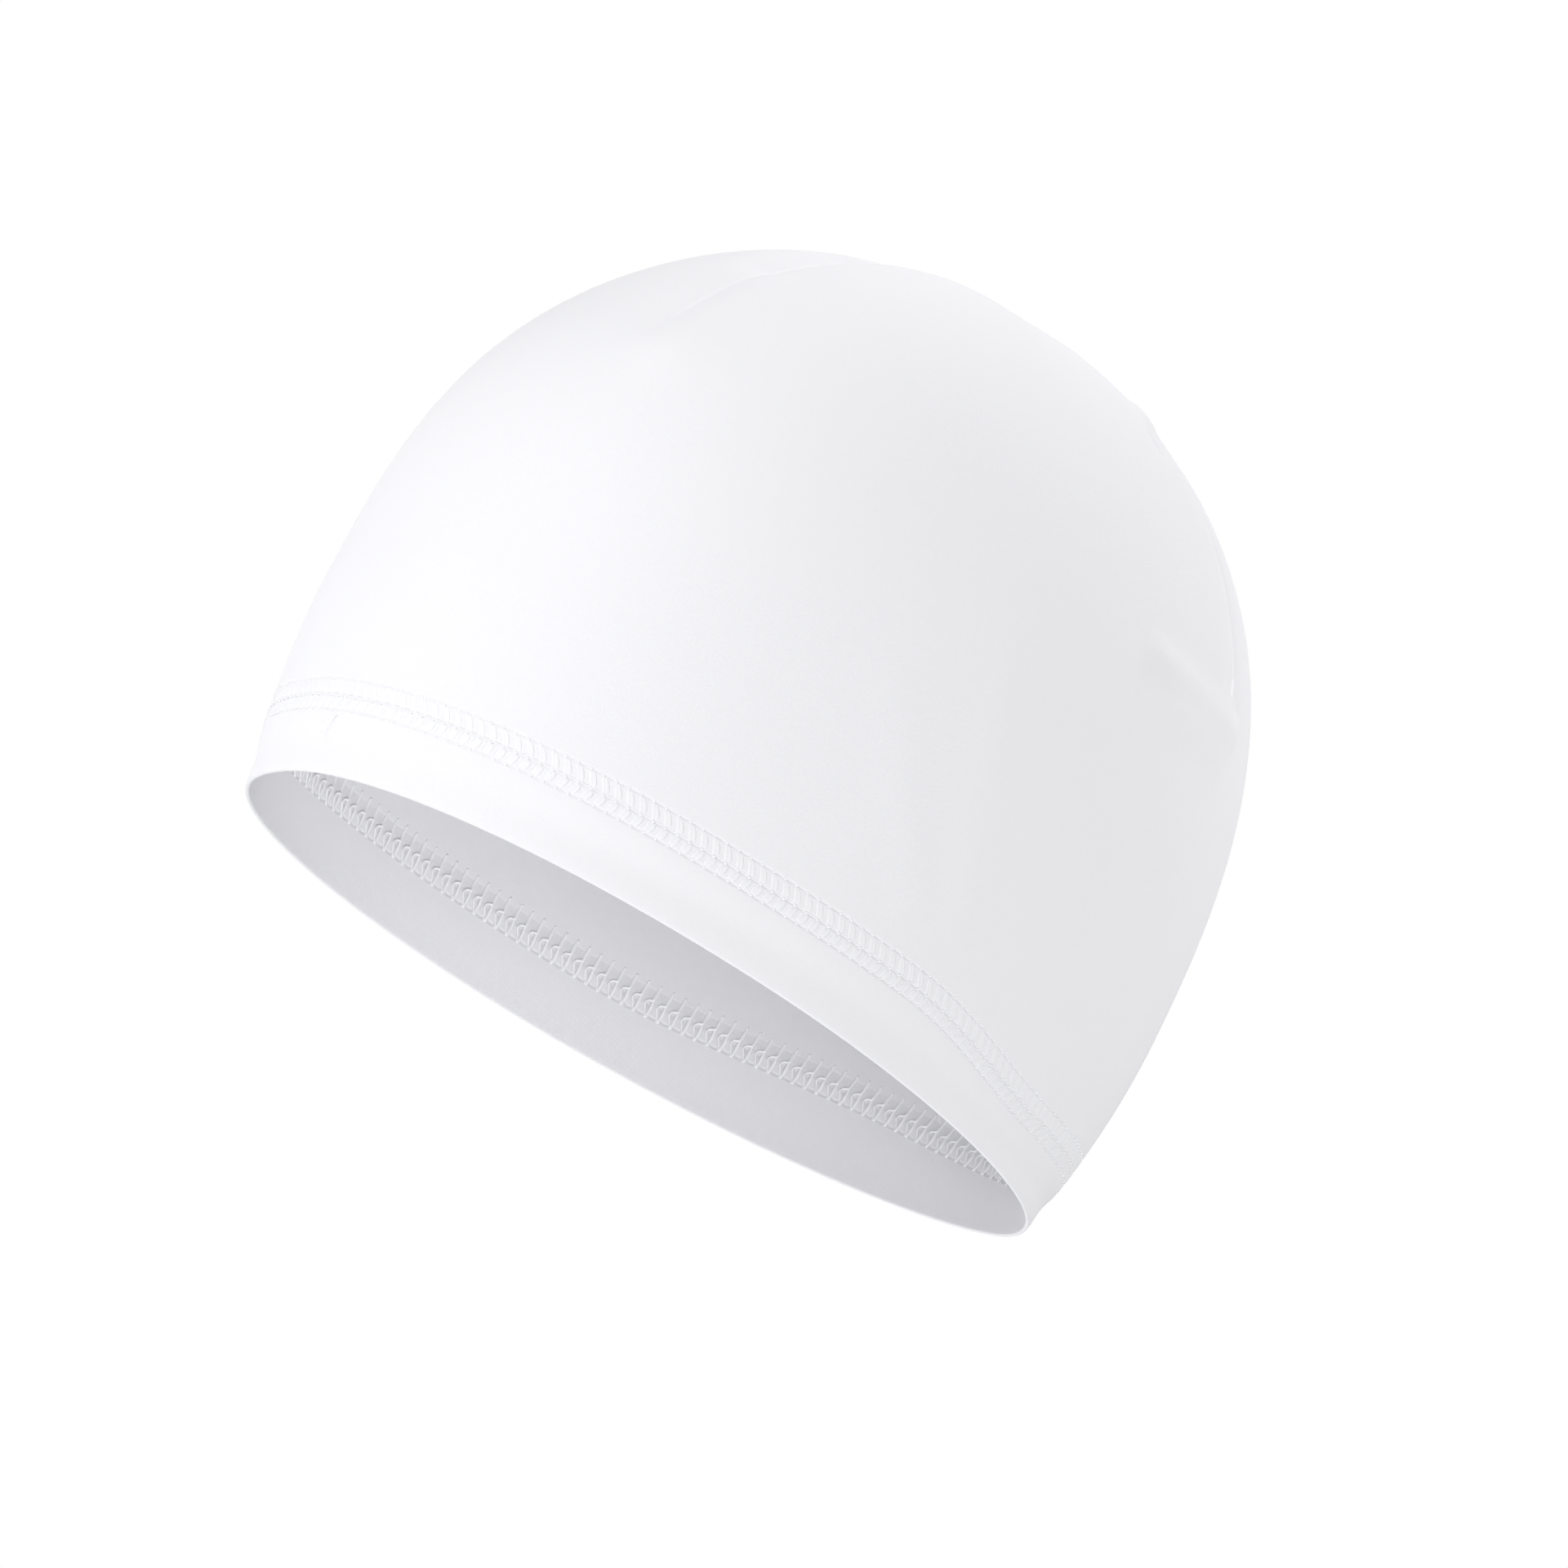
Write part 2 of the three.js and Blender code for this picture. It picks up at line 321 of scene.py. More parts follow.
# At a dart seam the cloth stands up in a narrow roll. The front ones also have a groove beside
# it on the side petal
SEAM_ROLL_BACK = 0.42
SEAM_ROLL_FRONT = 0.05
SEAM_ROLL_WIDTH = 0.7
SEAM_GROOVE = 0.15
SEAM_GROOVE_AWAY = 1.1
SEAM_GROOVE_WIDTH = 0.45
SEAM_START = 8  # the seam shows from this height above the dart's tip
SEAM_OPENING = 4
SEAM_CALM = (24, 48)  # radii from the top between which it fades, where the four seams meet


def seam_relief(angle, up):
    points = cloth_point(angle, up)
    radius = np.hypot(points[..., 0], points[..., 1] - TOP_SHIFT)
    start = DART_TIP_HEIGHT + SEAM_START
    grown = smoothstep(points[..., 2], start, start + SEAM_OPENING)
    grown = grown * smoothstep(radius, *SEAM_CALM)
    relief = np.zeros_like(radius)
    for index, seam in enumerate(dart_angles(up)):
        away = np.linalg.norm(points - cloth_point(seam, up), axis=-1)
        away = away * np.sign(np.abs(np.sin(seam)) - np.abs(np.sin(angle)))
        roll, groove = (SEAM_ROLL_BACK, 0) if index in BACK_DARTS else (SEAM_ROLL_FRONT, SEAM_GROOVE)
        relief = relief + roll * bell(away, SEAM_ROLL_WIDTH)
        relief = relief - groove * bell(away + SEAM_GROOVE_AWAY, SEAM_GROOVE_WIDTH)
    return relief * grown


# Painted highlight: the crown's colour is whitened along the dart rolls, standing in for the light their
# edges catch
SEAM_HIGHLIGHT = "painted_seam_highlight"  # painted highlight: how far a point of the crown lies in a dart's roll, from 0 to 1
SEAM_HIGHLIGHT_LIFT = 0.22  # the roll's height at which it is 1


def linear(hex_colour):
    """An sRGB hex value as linear red, green, blue and alpha."""
    channels = [int(hex_colour[i : i + 2], 16) / 255 for i in (1, 3, 5)]
    return (*[c / 12.92 if c <= 0.04045 else ((c + 0.055) / 1.055) ** 2.4 for c in channels], 1)


class LinerClothSettings(bpy.types.PropertyGroup):
    """The stretch knit"""

    thickness: bpy.props.FloatProperty(
        name="Thickness", description="One layer of knit", default=0.0009, unit="LENGTH")
    hem_thickness: bpy.props.FloatProperty(
        name="Hem thickness", description="The hem's two layers", default=0.0014, unit="LENGTH")
    fold_thickness: bpy.props.FloatProperty(
        name="Fold thickness", description="The hem's two layers, pressed flat at the rim",
        default=0.0009, unit="LENGTH")
    waist: bpy.props.FloatProperty(
        name="Hem waist", description="How far the hem dips between its fold and its stitches",
        default=0.0005, unit="LENGTH")
    wale_spacing: bpy.props.FloatProperty(
        name="Wale spacing", description="Between columns of knit loops", default=0.0007, unit="LENGTH")
    course_spacing: bpy.props.FloatProperty(
        name="Course spacing", description="Between rows of knit loops", default=0.0006, unit="LENGTH")
    colour: bpy.props.FloatVectorProperty(
        name="Colour", description="The bleached knit", subtype="COLOR", default=linear("#e7e7ea")[:3])
    # Painted highlight: a whiter colour for the dart rolls, standing in for the light their edges catch
    seam_highlight_colour: bpy.props.FloatVectorProperty(
        name="Painted seam highlight colour", description="Painted highlight colour of the knit along a dart's roll",
        subtype="COLOR", default=linear("#f8f8fa")[:3])


class LinerStitchSettings(bpy.types.PropertyGroup):
    """The three-needle cover stitch of the hem"""

    length: bpy.props.FloatProperty(
        name="Stitch length", description="From needle hole to needle hole", default=0.00295, unit="LENGTH")
    uneven: bpy.props.FloatProperty(
        name="Unevenness", description="Share by which stitches are shorter on the wearer's left",
        default=0.065)
    needle_offset: bpy.props.FloatProperty(
        name="Middle needle", description="How far the middle needle line lies below the joint",
        default=0.0004, unit="LENGTH")
    cover_height: bpy.props.FloatProperty(
        name="Cover thread", description="Thickness of the flattened thread outside",
        default=0.0002, unit="LENGTH")
    looper_height: bpy.props.FloatProperty(
        name="Looper thread", description="Thickness of the thread inside", default=0.0004, unit="LENGTH")
    needle_thread: bpy.props.FloatProperty(
        name="Needle thread", description="Thread of the three needle lines", default=0.0003, unit="LENGTH")
    groove: bpy.props.FloatProperty(
        name="Groove", description="How far the needle threads pull the cloth in", default=0.00024,
        unit="LENGTH")
    cover_colour: bpy.props.FloatVectorProperty(
        name="Cover thread colour", description="White", subtype="COLOR", default=linear("#e9e9ec")[:3])
    looper_colour: bpy.props.FloatVectorProperty(
        name="Looper thread colour", description="White", subtype="COLOR", default=linear("#f6f6f8")[:3])
    needle_colour: bpy.props.FloatVectorProperty(
        name="Needle thread colour", description="White", subtype="COLOR", default=linear("#f3f3f5")[:3])


class LinerStageSettings(bpy.types.PropertyGroup):
    """Floor, light and camera"""

    floor_drop: bpy.props.FloatProperty(
        name="Floor", description="How far the floor lies below the rim", default=0.9, unit="LENGTH")
    floor_colour: bpy.props.FloatVectorProperty(
        name="Floor colour", description="Pale seamless paper", subtype="COLOR",
        default=linear("#f2f2f2")[:3])
    surround: bpy.props.FloatProperty(
        name="Surround", description="Light from the white surround on the cap and floor", default=0.32)
    backdrop: bpy.props.FloatProperty(
        name="Backdrop", description="Brightness of the surround in the picture itself", default=1.0)
    lamp_power: bpy.props.FloatProperty(
        name="Lamps", description="Power of a lamp of strength 1", default=10.0, unit="POWER")
    lamp_size: bpy.props.FloatProperty(
        name="Lamp size", description="Width of each square softbox", default=0.8, unit="LENGTH")
    lamp_distance: bpy.props.FloatProperty(
        name="Lamp distance", description="From the cap's middle", default=1.2, unit="LENGTH")
    azimuth: bpy.props.FloatProperty(
        name="Camera azimuth", description="Round the cap from its front", subtype="ANGLE",
        default=math.radians(71.2))
    elevation: bpy.props.FloatProperty(
        name="Camera elevation", description="Below 0 it looks up", subtype="ANGLE",
        default=math.radians(-14.55))
    roll: bpy.props.FloatProperty(
        name="Camera roll", description="How far the cap leans in the picture", subtype="ANGLE",
        default=math.radians(28.5))
    distance: bpy.props.FloatProperty(
        name="Camera distance", description="From the cap's origin", default=1.1, unit="LENGTH")
    aim_right: bpy.props.FloatProperty(
        name="Aim across", description="From the origin to the picture's centre", default=0.00866,
        unit="LENGTH")
    aim_up: bpy.props.FloatProperty(
        name="Aim up", description="From the origin to the picture's centre", default=0.05592, unit="LENGTH")
    picture_width: bpy.props.FloatProperty(
        name="Picture width", description="Width that the picture shows at the origin",
        default=0.33258, unit="LENGTH")


def add_node(tree, kind, settings=None, inputs=None):
    """Adds a node, sets its properties, and links its inputs or sets their values. A node given
    as an input is linked by its first output."""
    node = tree.nodes.new(kind)
    for name, value in (settings or {}).items():
        setattr(node, name, value)
    for name, value in (inputs or {}).items():
        if isinstance(value, bpy.types.Node):
            value = value.outputs[0]
        if isinstance(value, bpy.types.NodeSocket):
            tree.links.new(value, node.inputs[name])
        else:
            node.inputs[name].default_value = value
    return node


def new_material(name):
    material = bpy.data.materials.new(name)
    material.use_nodes = True
    material.node_tree.nodes.clear()
    return material


# Relief of the knit: how far its loops lean along a wale, and how high the wale's rib and the
# fuzz stand beside them
LOOP_LEAN = 1.2
RIB_HEIGHT = 2.0
FUZZ_HEIGHT = 1.5


def stretch_knit(settings, with_seam_highlight=False):
    """Bleached polyester and elastane jersey, weft knitted. Its fine loops scatter light and let
    some of it through, so it is matt and soft with hardly any sheen, and its wales show as
    faint upright lines. The real loops are about 0.5 mm apart, and are drawn wider here,
    because they would be too fine to show. With a seam highlight, the colour is painted
    whiter along the dart rolls: a painted highlight standing in for the light their edges catch."""
    name = "stretch_knit_jersey_with_darts" if with_seam_highlight else "stretch_knit_jersey"
    if name in bpy.data.materials:
        return bpy.data.materials[name]
    material = new_material(name)
    tree = material.node_tree
    place = add_node(tree, "ShaderNodeUVMap", {"uv_map": "cloth"})
    split = add_node(tree, "ShaderNodeSeparateXYZ", inputs={0: place})
    wale = add_node(tree, "ShaderNodeMath", {"operation": "DIVIDE"}, {0: split, 1: settings.wale_spacing})
    course = add_node(
        tree, "ShaderNodeMath", {"operation": "DIVIDE"}, {0: split.outputs[1], 1: settings.course_spacing})
    leg = add_node(tree, "ShaderNodeMath", {"operation": "PINGPONG"}, {0: wale, 1: 0.5})
    lean = add_node(tree, "ShaderNodeMath", {"operation": "MULTIPLY_ADD"}, {0: leg, 1: LOOP_LEAN, 2: course})
    turn = add_node(tree, "ShaderNodeMath", {"operation": "MULTIPLY"}, {0: lean, 1: 2 * math.pi})
    loops = add_node(tree, "ShaderNodeMath", {"operation": "COSINE"}, {0: turn})
    ribs = add_node(tree, "ShaderNodeMath", {"operation": "MULTIPLY_ADD"}, {0: leg, 1: RIB_HEIGHT, 2: loops})
    where = add_node(tree, "ShaderNodeTexCoord")
    fuzz = add_node(
        tree, "ShaderNodeTexNoise", inputs={"Vector": where.outputs["Object"], "Scale": 900.0, "Detail": 3.0})
    height = add_node(
        tree, "ShaderNodeMath", {"operation": "MULTIPLY_ADD"}, {0: fuzz, 1: FUZZ_HEIGHT, 2: ribs})
    bump = add_node(
        tree, "ShaderNodeBump", inputs={"Strength": 0.12, "Distance": 0.00004, "Height": height})
    colour = (*settings.colour, 1)
    # Painted highlight: the dart rolls get a whiter colour, mixed in by the rolls' height
    if with_seam_highlight:
        highlight_share = add_node(tree, "ShaderNodeAttribute", {"attribute_name": SEAM_HIGHLIGHT})
        colour = add_node(tree, "ShaderNodeMixRGB", inputs={
            "Fac": highlight_share.outputs["Fac"], "Color1": colour, "Color2": (*settings.seam_highlight_colour, 1)})
    return finish(material, colour, bump, roughness=0.85, specular=0.2)


def finish(material, colour, bump, roughness, specular):
    tree = material.node_tree
    shader = add_node(tree, "ShaderNodeBsdfPrincipled", inputs={
        "Base Color": colour, "Roughness": roughness, "Specular IOR Level": specular, "Normal": bump})
    add_node(tree, "ShaderNodeOutputMaterial", inputs={"Surface": shader})
    return material


def grained(name, colour, scale, strength, distance, roughness, specular=0.5):
    """A material of one colour with a fine grain: its noise scale, and its bump's strength and
    distance."""
    if name in bpy.data.materials:
        return bpy.data.materials[name]
    material = new_material(name)
    tree = material.node_tree
    where = add_node(tree, "ShaderNodeTexCoord")
    grain = add_node(tree, "ShaderNodeTexNoise", inputs={"Vector": where.outputs["Object"], "Scale": scale})
    bump = add_node(
        tree, "ShaderNodeBump", inputs={"Strength": strength, "Distance": distance, "Height": grain})
    return finish(material, (*colour, 1), bump, roughness, specular)


# Textured polyester sewing thread, false-twist bulked. Its crimped filaments lie loose, so it
# looks soft and a little brighter than the knit, with a slight silky gloss.
BULKED = {"scale": 2500.0, "strength": 0.4, "distance": 0.00005, "roughness": 0.65, "specular": 0.2}


def cover_thread(settings):
    return grained("bulked_polyester_cover_thread", settings.cover_colour, **BULKED)


def looper_thread(settings):
    return grained("bulked_polyester_looper_thread", settings.looper_colour, **BULKED)


def needle_thread(settings):
    """Continuous filament polyester needle thread, twisted and lubricated. It lies tight over
    the bulked thread, so each stitch shows a small bright gleam."""
    return grained(
        "filament_needle_thread", settings.needle_colour, scale=3000.0, strength=0.2, distance=0.00003,
        roughness=0.35)


def studio_paper(colour):
    """Matt white seamless background paper, rolled, with a faint fibre mottle."""
    return grained("seamless_paper", colour, scale=400.0, strength=0.1, distance=0.0002, roughness=0.9)


def mesh_object(name, points, faces, corner_uv, material):
    """A smooth mesh object from points in millimetres."""
    mesh = bpy.data.meshes.new(name)
    mesh.from_pydata((points * MM).tolist(), [], faces)
    layer = mesh.uv_layers.new(name="cloth")
    layer.data.foreach_set("uv", (np.asarray(corner_uv, np.float32) * MM).ravel())
    mesh.shade_smooth()
    mesh.materials.append(material)
    piece = bpy.data.objects.new(name, mesh)
    bpy.context.scene.collection.objects.link(piece)
    return piece


def place_piece(piece, replaced=()):
    """The piece rides on the part, and stands for the solids it replaces."""
    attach(piece, BODY)
    if replaced:
        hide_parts(*replaced)


def column_angles(up, detail=1):
    """Plan angles of all columns in a row: evenly spaced along the wall, and higher up drawn to
    the dart seams, with a column on each."""
    first = HemLine.distance_at(-DART_ANGLE_LOW)
    even = HemLine.angle_at(first + HemLine.total * np.arange(COLUMNS * detail) / (COLUMNS * detail))
    if detail > 1:
        return even
    darts = dart_angles(up)
    starts = [darts[3] - 2 * math.pi, *darts[:3]]
    gathered = []
    for row, start, end in zip(PETALS, starts, darts):
        share = np.arange(row["columns"]) / row["columns"]
        share = share - SEAM_CROWDING * np.sin(2 * math.pi * share) / (2 * math.pi)
        gathered.append(lerp(start, end, share))
    blend = smoothstep(cap_height(np.asarray(up)), CROWD_FROM, CROWD_TO)
    return lerp(even, np.concatenate(gathered), blend)


POLE_UV = 2  # height of the faces round a pole in the uv map, in millimetres


def ring_uv(points):
    """Distances round the ring at the left and right corner of each column's faces, measured in
    each petal from its own middle, so that the wales stay upright and the darts cut them off."""
    count = len(points)
    detail = count // COLUMNS
    steps = np.linalg.norm(np.roll(points, -1, axis=0) - points, axis=1)
    left = np.concatenate([[0], np.cumsum(steps)])
    right = left[1:].copy()
    left = left[:-1].copy()
    start = 0
    for row in PETALS:
        end = start + row["columns"] * detail
        middle = (start + end) // 2
        shift = HemLine.total * middle / count - left[middle % count]
        left[start:end] += shift
        right[start:end] += shift
        start = end
    return left, right


def join_rings(low, high):
    """Faces between two rings, and their corners' uv. The counts are equal, or one ring has
    STITCH_DETAIL times as many points as the other. A ring is the distances at the left and
    right corner of each column, its height and the number of its first point."""
    low_count, high_count = len(low[0]), len(high[0])
    fine, coarse = (low, high) if low_count > high_count else (high, low)
    shapes = []
    for i in range(min(low_count, high_count)):
        if low_count == high_count:
            shapes.append([(low, i, 0), (low, i, 1), (high, i, 1), (high, i, 0)])
            continue
        a = STITCH_DETAIL * i
        shapes += [
            [(fine, a, 0), (fine, a, 1), (coarse, i, 0)],
            [(fine, a + 1, 0), (fine, a + 1, 1), (coarse, i, 1), (coarse, i, 0)],
            [(fine, a + 2, 0), (fine, a + 2, 1), (coarse, i, 1)],
        ]
    if low_count < high_count:
        shapes = [shape[::-1] for shape in shapes]
    faces = [[ring[3] + (i + right) % len(ring[0]) for ring, i, right in shape] for shape in shapes]
    return faces, [(ring[right][i], ring[2]) for shape in shapes for ring, i, right in shape]


def cloth_skin(name, rings, material, closed=False, poles=()):
    """A cloth piece from rings of points. Walking round a ring and then on to the next turns
    outward. poles are the points that close the first and last ring."""
    edges, rise, first = [], 0.0, 0
    for index, ring in enumerate(rings):
        if index:
            before = rings[index - 1]
            stride = max(1, len(before) // len(ring)), max(1, len(ring) // len(before))
            rise += float(np.linalg.norm(before[:: stride[0]] - ring[:: stride[1]], axis=1).mean())
        edges.append((*ring_uv(ring), rise, first))
        first += len(ring)
    faces, corners = [], []
    for low, high in zip(edges, [*edges[1:], edges[0]] if closed else edges[1:]):
        more, where = join_rings(low, high)
        faces += more
        corners += where
    points = [*rings]
    for pole, (left, right, height, start), turned in zip(poles, (edges[0], edges[-1]), (True, False)):
        tip = height + (-POLE_UV if turned else POLE_UV)
        for i in range(len(left)):
            a, b = start + i, start + (i + 1) % len(left)
            faces.append((b, a, first) if turned else (a, b, first))
            ends = [(left[i], height), (right[i], height)]
            corners += [*(reversed(ends) if turned else ends), ((left[i] + right[i]) / 2, tip)]
        points.append(pole[None, :])
        first += 1
    return mesh_object(name, np.concatenate(points), faces, corners, material)


STITCHED_STEP = 0.33  # between rows of the stitched cloth, in millimetres
BESIDE_A_LINE = (-0.3, -0.15, 0, 0.15, 0.3)  # rows beside each needle line
LINE_GAP = 0.42  # the other rows keep this far from it

# Where a stroke of the cover stitch crosses the top needle line, and how far it leans on its way
# to the middle one and back to the bottom one, in stitch lengths
STROKE_START = -0.45
STROKE_LEAN = 0.62
STROKE_BACK = 0.28

# Relief of the stitched cloth, in millimetres
GROOVE_WIDTH = 0.17
STROKE_RIDGE = 0.02  # under a stroke
RIDGE_REACH = 0.2  # the ridges run this far past the outer needle lines
RIDGE_FADE = 0.5  # and end over this height
INNER_GROOVE_SHARE = 0.25  # the inner grooves are this share of the outer ones
INNER_GROOVE_WIDTH = 0.5
SWOOP_DEPTH = 0.3  # of the sharp groove that sags from each bottom knot to the next
SWOOP_DROP = 0.25  # how far its highest points lie below the bottom line
SWOOP_SAG = 0.35  # how much lower it is between them
SWOOP_WIDTH = 0.2
SWOOP_PLACE = -0.03  # of its highest points, in stitch lengths
PIT_DEPTH = 0.35
PIT_PLACE = 0.22  # in stitch lengths
PIT_DROP = 0.9  # below the middle line
PIT_WIDTH = 0.6


def needle_lines(settings):
    """Heights of the three needle lines above the joint, in millimetres."""
    half = STITCH_WIDTH / 2
    return half, -settings.needle_offset / MM, -half


def stitch_count(settings):
    return round(HemLine.total * MM / settings.length)


def stitch_number(distance, settings):
    """How many stitches lie between the front's middle and a distance round the hem."""
    turn = 2 * math.pi * np.asarray(distance) / HemLine.total
    more = settings.uneven * (1 - np.cos(turn)) / (2 * math.pi)
    return stitch_count(settings) * (np.asarray(distance) / HemLine.total + more)


STITCH_STEPS = 3001


def stitch_distance(number, settings):
    """The distance round the hem of a stitch number, which may be a fraction."""
    distances = np.linspace(-HemLine.total, 2 * HemLine.total, STITCH_STEPS)
    return np.interp(number, stitch_number(distances, settings), distances)


def stroke_lean(rise, settings):
    """How far the cover stitch's strokes lie along the hem at a height, in stitch lengths. They
    run from the top needle line to the middle one and turn back to the bottom one."""
    top, middle, bottom = needle_lines(settings)
    upper = np.clip((top - rise) / (top - middle), 0, 1)
    lower = np.clip((middle - rise) / (middle - bottom), 0, 1)
    return (
        STROKE_START + STROKE_LEAN * np.sin(upper * math.pi / 2)
        - STROKE_BACK * (1 - np.cos(lower * math.pi / 2)))


def stitched_rises(low, high, settings):
    """Heights of the rows where the cloth is stitched, closer together beside needle lines."""
    lines = np.array(needle_lines(settings))
    plain = [rise for rise in np.arange(low, high, STITCHED_STEP) if np.abs(lines - rise).min() > LINE_GAP]
    beside = [line + away for line in lines for away in BESIDE_A_LINE if low < line + away < high]
    return sorted({low, *plain, *beside})


def outer_stitch_relief(distance, rise, settings):
    """How the cover stitch shapes the outer face: a narrow groove along each needle line, deeper
    between the strokes, and low ridges under the strokes."""
    number = stitch_number(distance, settings)
    groove = settings.groove / MM
    relief = np.zeros(np.broadcast(number, rise).shape)
    for line in needle_lines(settings):
        pit = 0.5 - 0.5 * np.cos(2 * math.pi * (number - stroke_lean(line, settings)))
        relief = relief - groove * (0.5 + 0.5 * pit) * bell(rise - line, GROOVE_WIDTH)
    under = 2 * math.pi * (number - stroke_lean(rise, settings))
    inside = smoothstep(STITCH_WIDTH / 2 + RIDGE_REACH - np.abs(rise), 0, RIDGE_FADE)
    return relief + inside * STROKE_RIDGE * np.cos(under)


def inner_stitch_relief(distance, rise, settings):
    """The same on the hem's inner face: shallow grooves, a sharper one from each bottom knot to
    the next, and a pit in each stitch below the middle line."""
    number = stitch_number(distance, settings)
    relief = np.zeros(np.broadcast(number, rise).shape)
    top, middle, bottom = needle_lines(settings)
    for line in (top, middle):
        groove = INNER_GROOVE_SHARE * settings.groove / MM
        relief = relief - groove * bell(rise - line, INNER_GROOVE_WIDTH)
    swoop = bottom - SWOOP_DROP - SWOOP_SAG * np.abs(np.sin(math.pi * (number - SWOOP_PLACE)))
    relief = relief - SWOOP_DEPTH * bell(rise - swoop, SWOOP_WIDTH)
    pit = (0.5 + 0.5 * np.cos(2 * math.pi * (number - PIT_PLACE))) ** 4
    return relief - PIT_DEPTH * pit * bell(rise - middle + PIT_DROP, PIT_WIDTH)


class LINER_OT_crown(bpy.types.Operator):
    """Build the knit crown from the hem's middle needle line to the top"""

    bl_idname = "liner.crown"
    bl_label = "Crown"

    STITCHED_TOP = 4.9  # the finely modelled rows reach this far above the joint
    DOME_ROWS = 92
    INNER_ROWS = 70
    TOP_CROWDING = 1.15  # above 1, the rows lie closer together near the top

    def execute(self, context):
        cloth = context.scene.liner_cloth
        stitch = context.scene.liner_stitch
        even = column_angles(0, STITCH_DETAIL)
        distance = HemLine.distance_at(even)
        stitched = []
        for rise in stitched_rises(0, self.STITCHED_TOP, stitch):
            points, outward = cloth_frame(even, up_at_height(joint_height(even) + rise))
            relief = outer_stitch_relief(distance, rise, stitch)
            stitched.append(points + outward * relief[:, None])
        shares = np.arange(self.DOME_ROWS) / self.DOME_ROWS
        dome = [self.dome_ring(share, self.STITCHED_TOP, 0) for share in shares]
        inside = [
            self.dome_ring(row / self.INNER_ROWS, 0, cloth.thickness / MM)
            for row in reversed(range(self.INNER_ROWS))
        ]
        top = cloth_point(0, 1)
        under_top = top - np.array([0, 0, cloth.thickness / MM])
        crown = cloth_skin(
            "crown_knit", [*inside, *stitched, *dome], stretch_knit(cloth, with_seam_highlight=True),
            poles=(under_top, top))
        plain = np.zeros(sum(len(ring) for ring in [*inside, *stitched]))
        # Painted highlight mask: the height of the dart rolls sets how far the crown's colour is whitened
        rolls = [seam_relief(*self.dome_place(share, self.STITCHED_TOP)) for share in shares]
        highlight_share = np.concatenate([plain, *rolls, np.zeros(2)]) / SEAM_HIGHLIGHT_LIFT
        layer = crown.data.attributes.new(SEAM_HIGHLIGHT, "FLOAT", "POINT")
        layer.data.foreach_set("value", highlight_share.clip(0, 1).astype(np.float32))
        place_piece(crown, ["crown"])
        return {"FINISHED"}

    def dome_place(self, share, lowest):
        """Angles and ups of a ring of the dome. share is 0 at the lowest ring and 1 at the top."""
        share = 1 - (1 - share) ** self.TOP_CROWDING
        row_up = lerp(up_at_height(joint_height(0) + lowest), 1, share)
        angles = column_angles(row_up)
        return angles, lerp(up_at_height(joint_height(angles) + lowest), 1, share)

    def dome_ring(self, share, lowest, depth):
        angles, ups = self.dome_place(share, lowest)
        points, outward = cloth_frame(angles, ups)
        relief = fold_relief(points) + seam_relief(angles, ups)
        return points + outward * (relief - depth)[:, None]


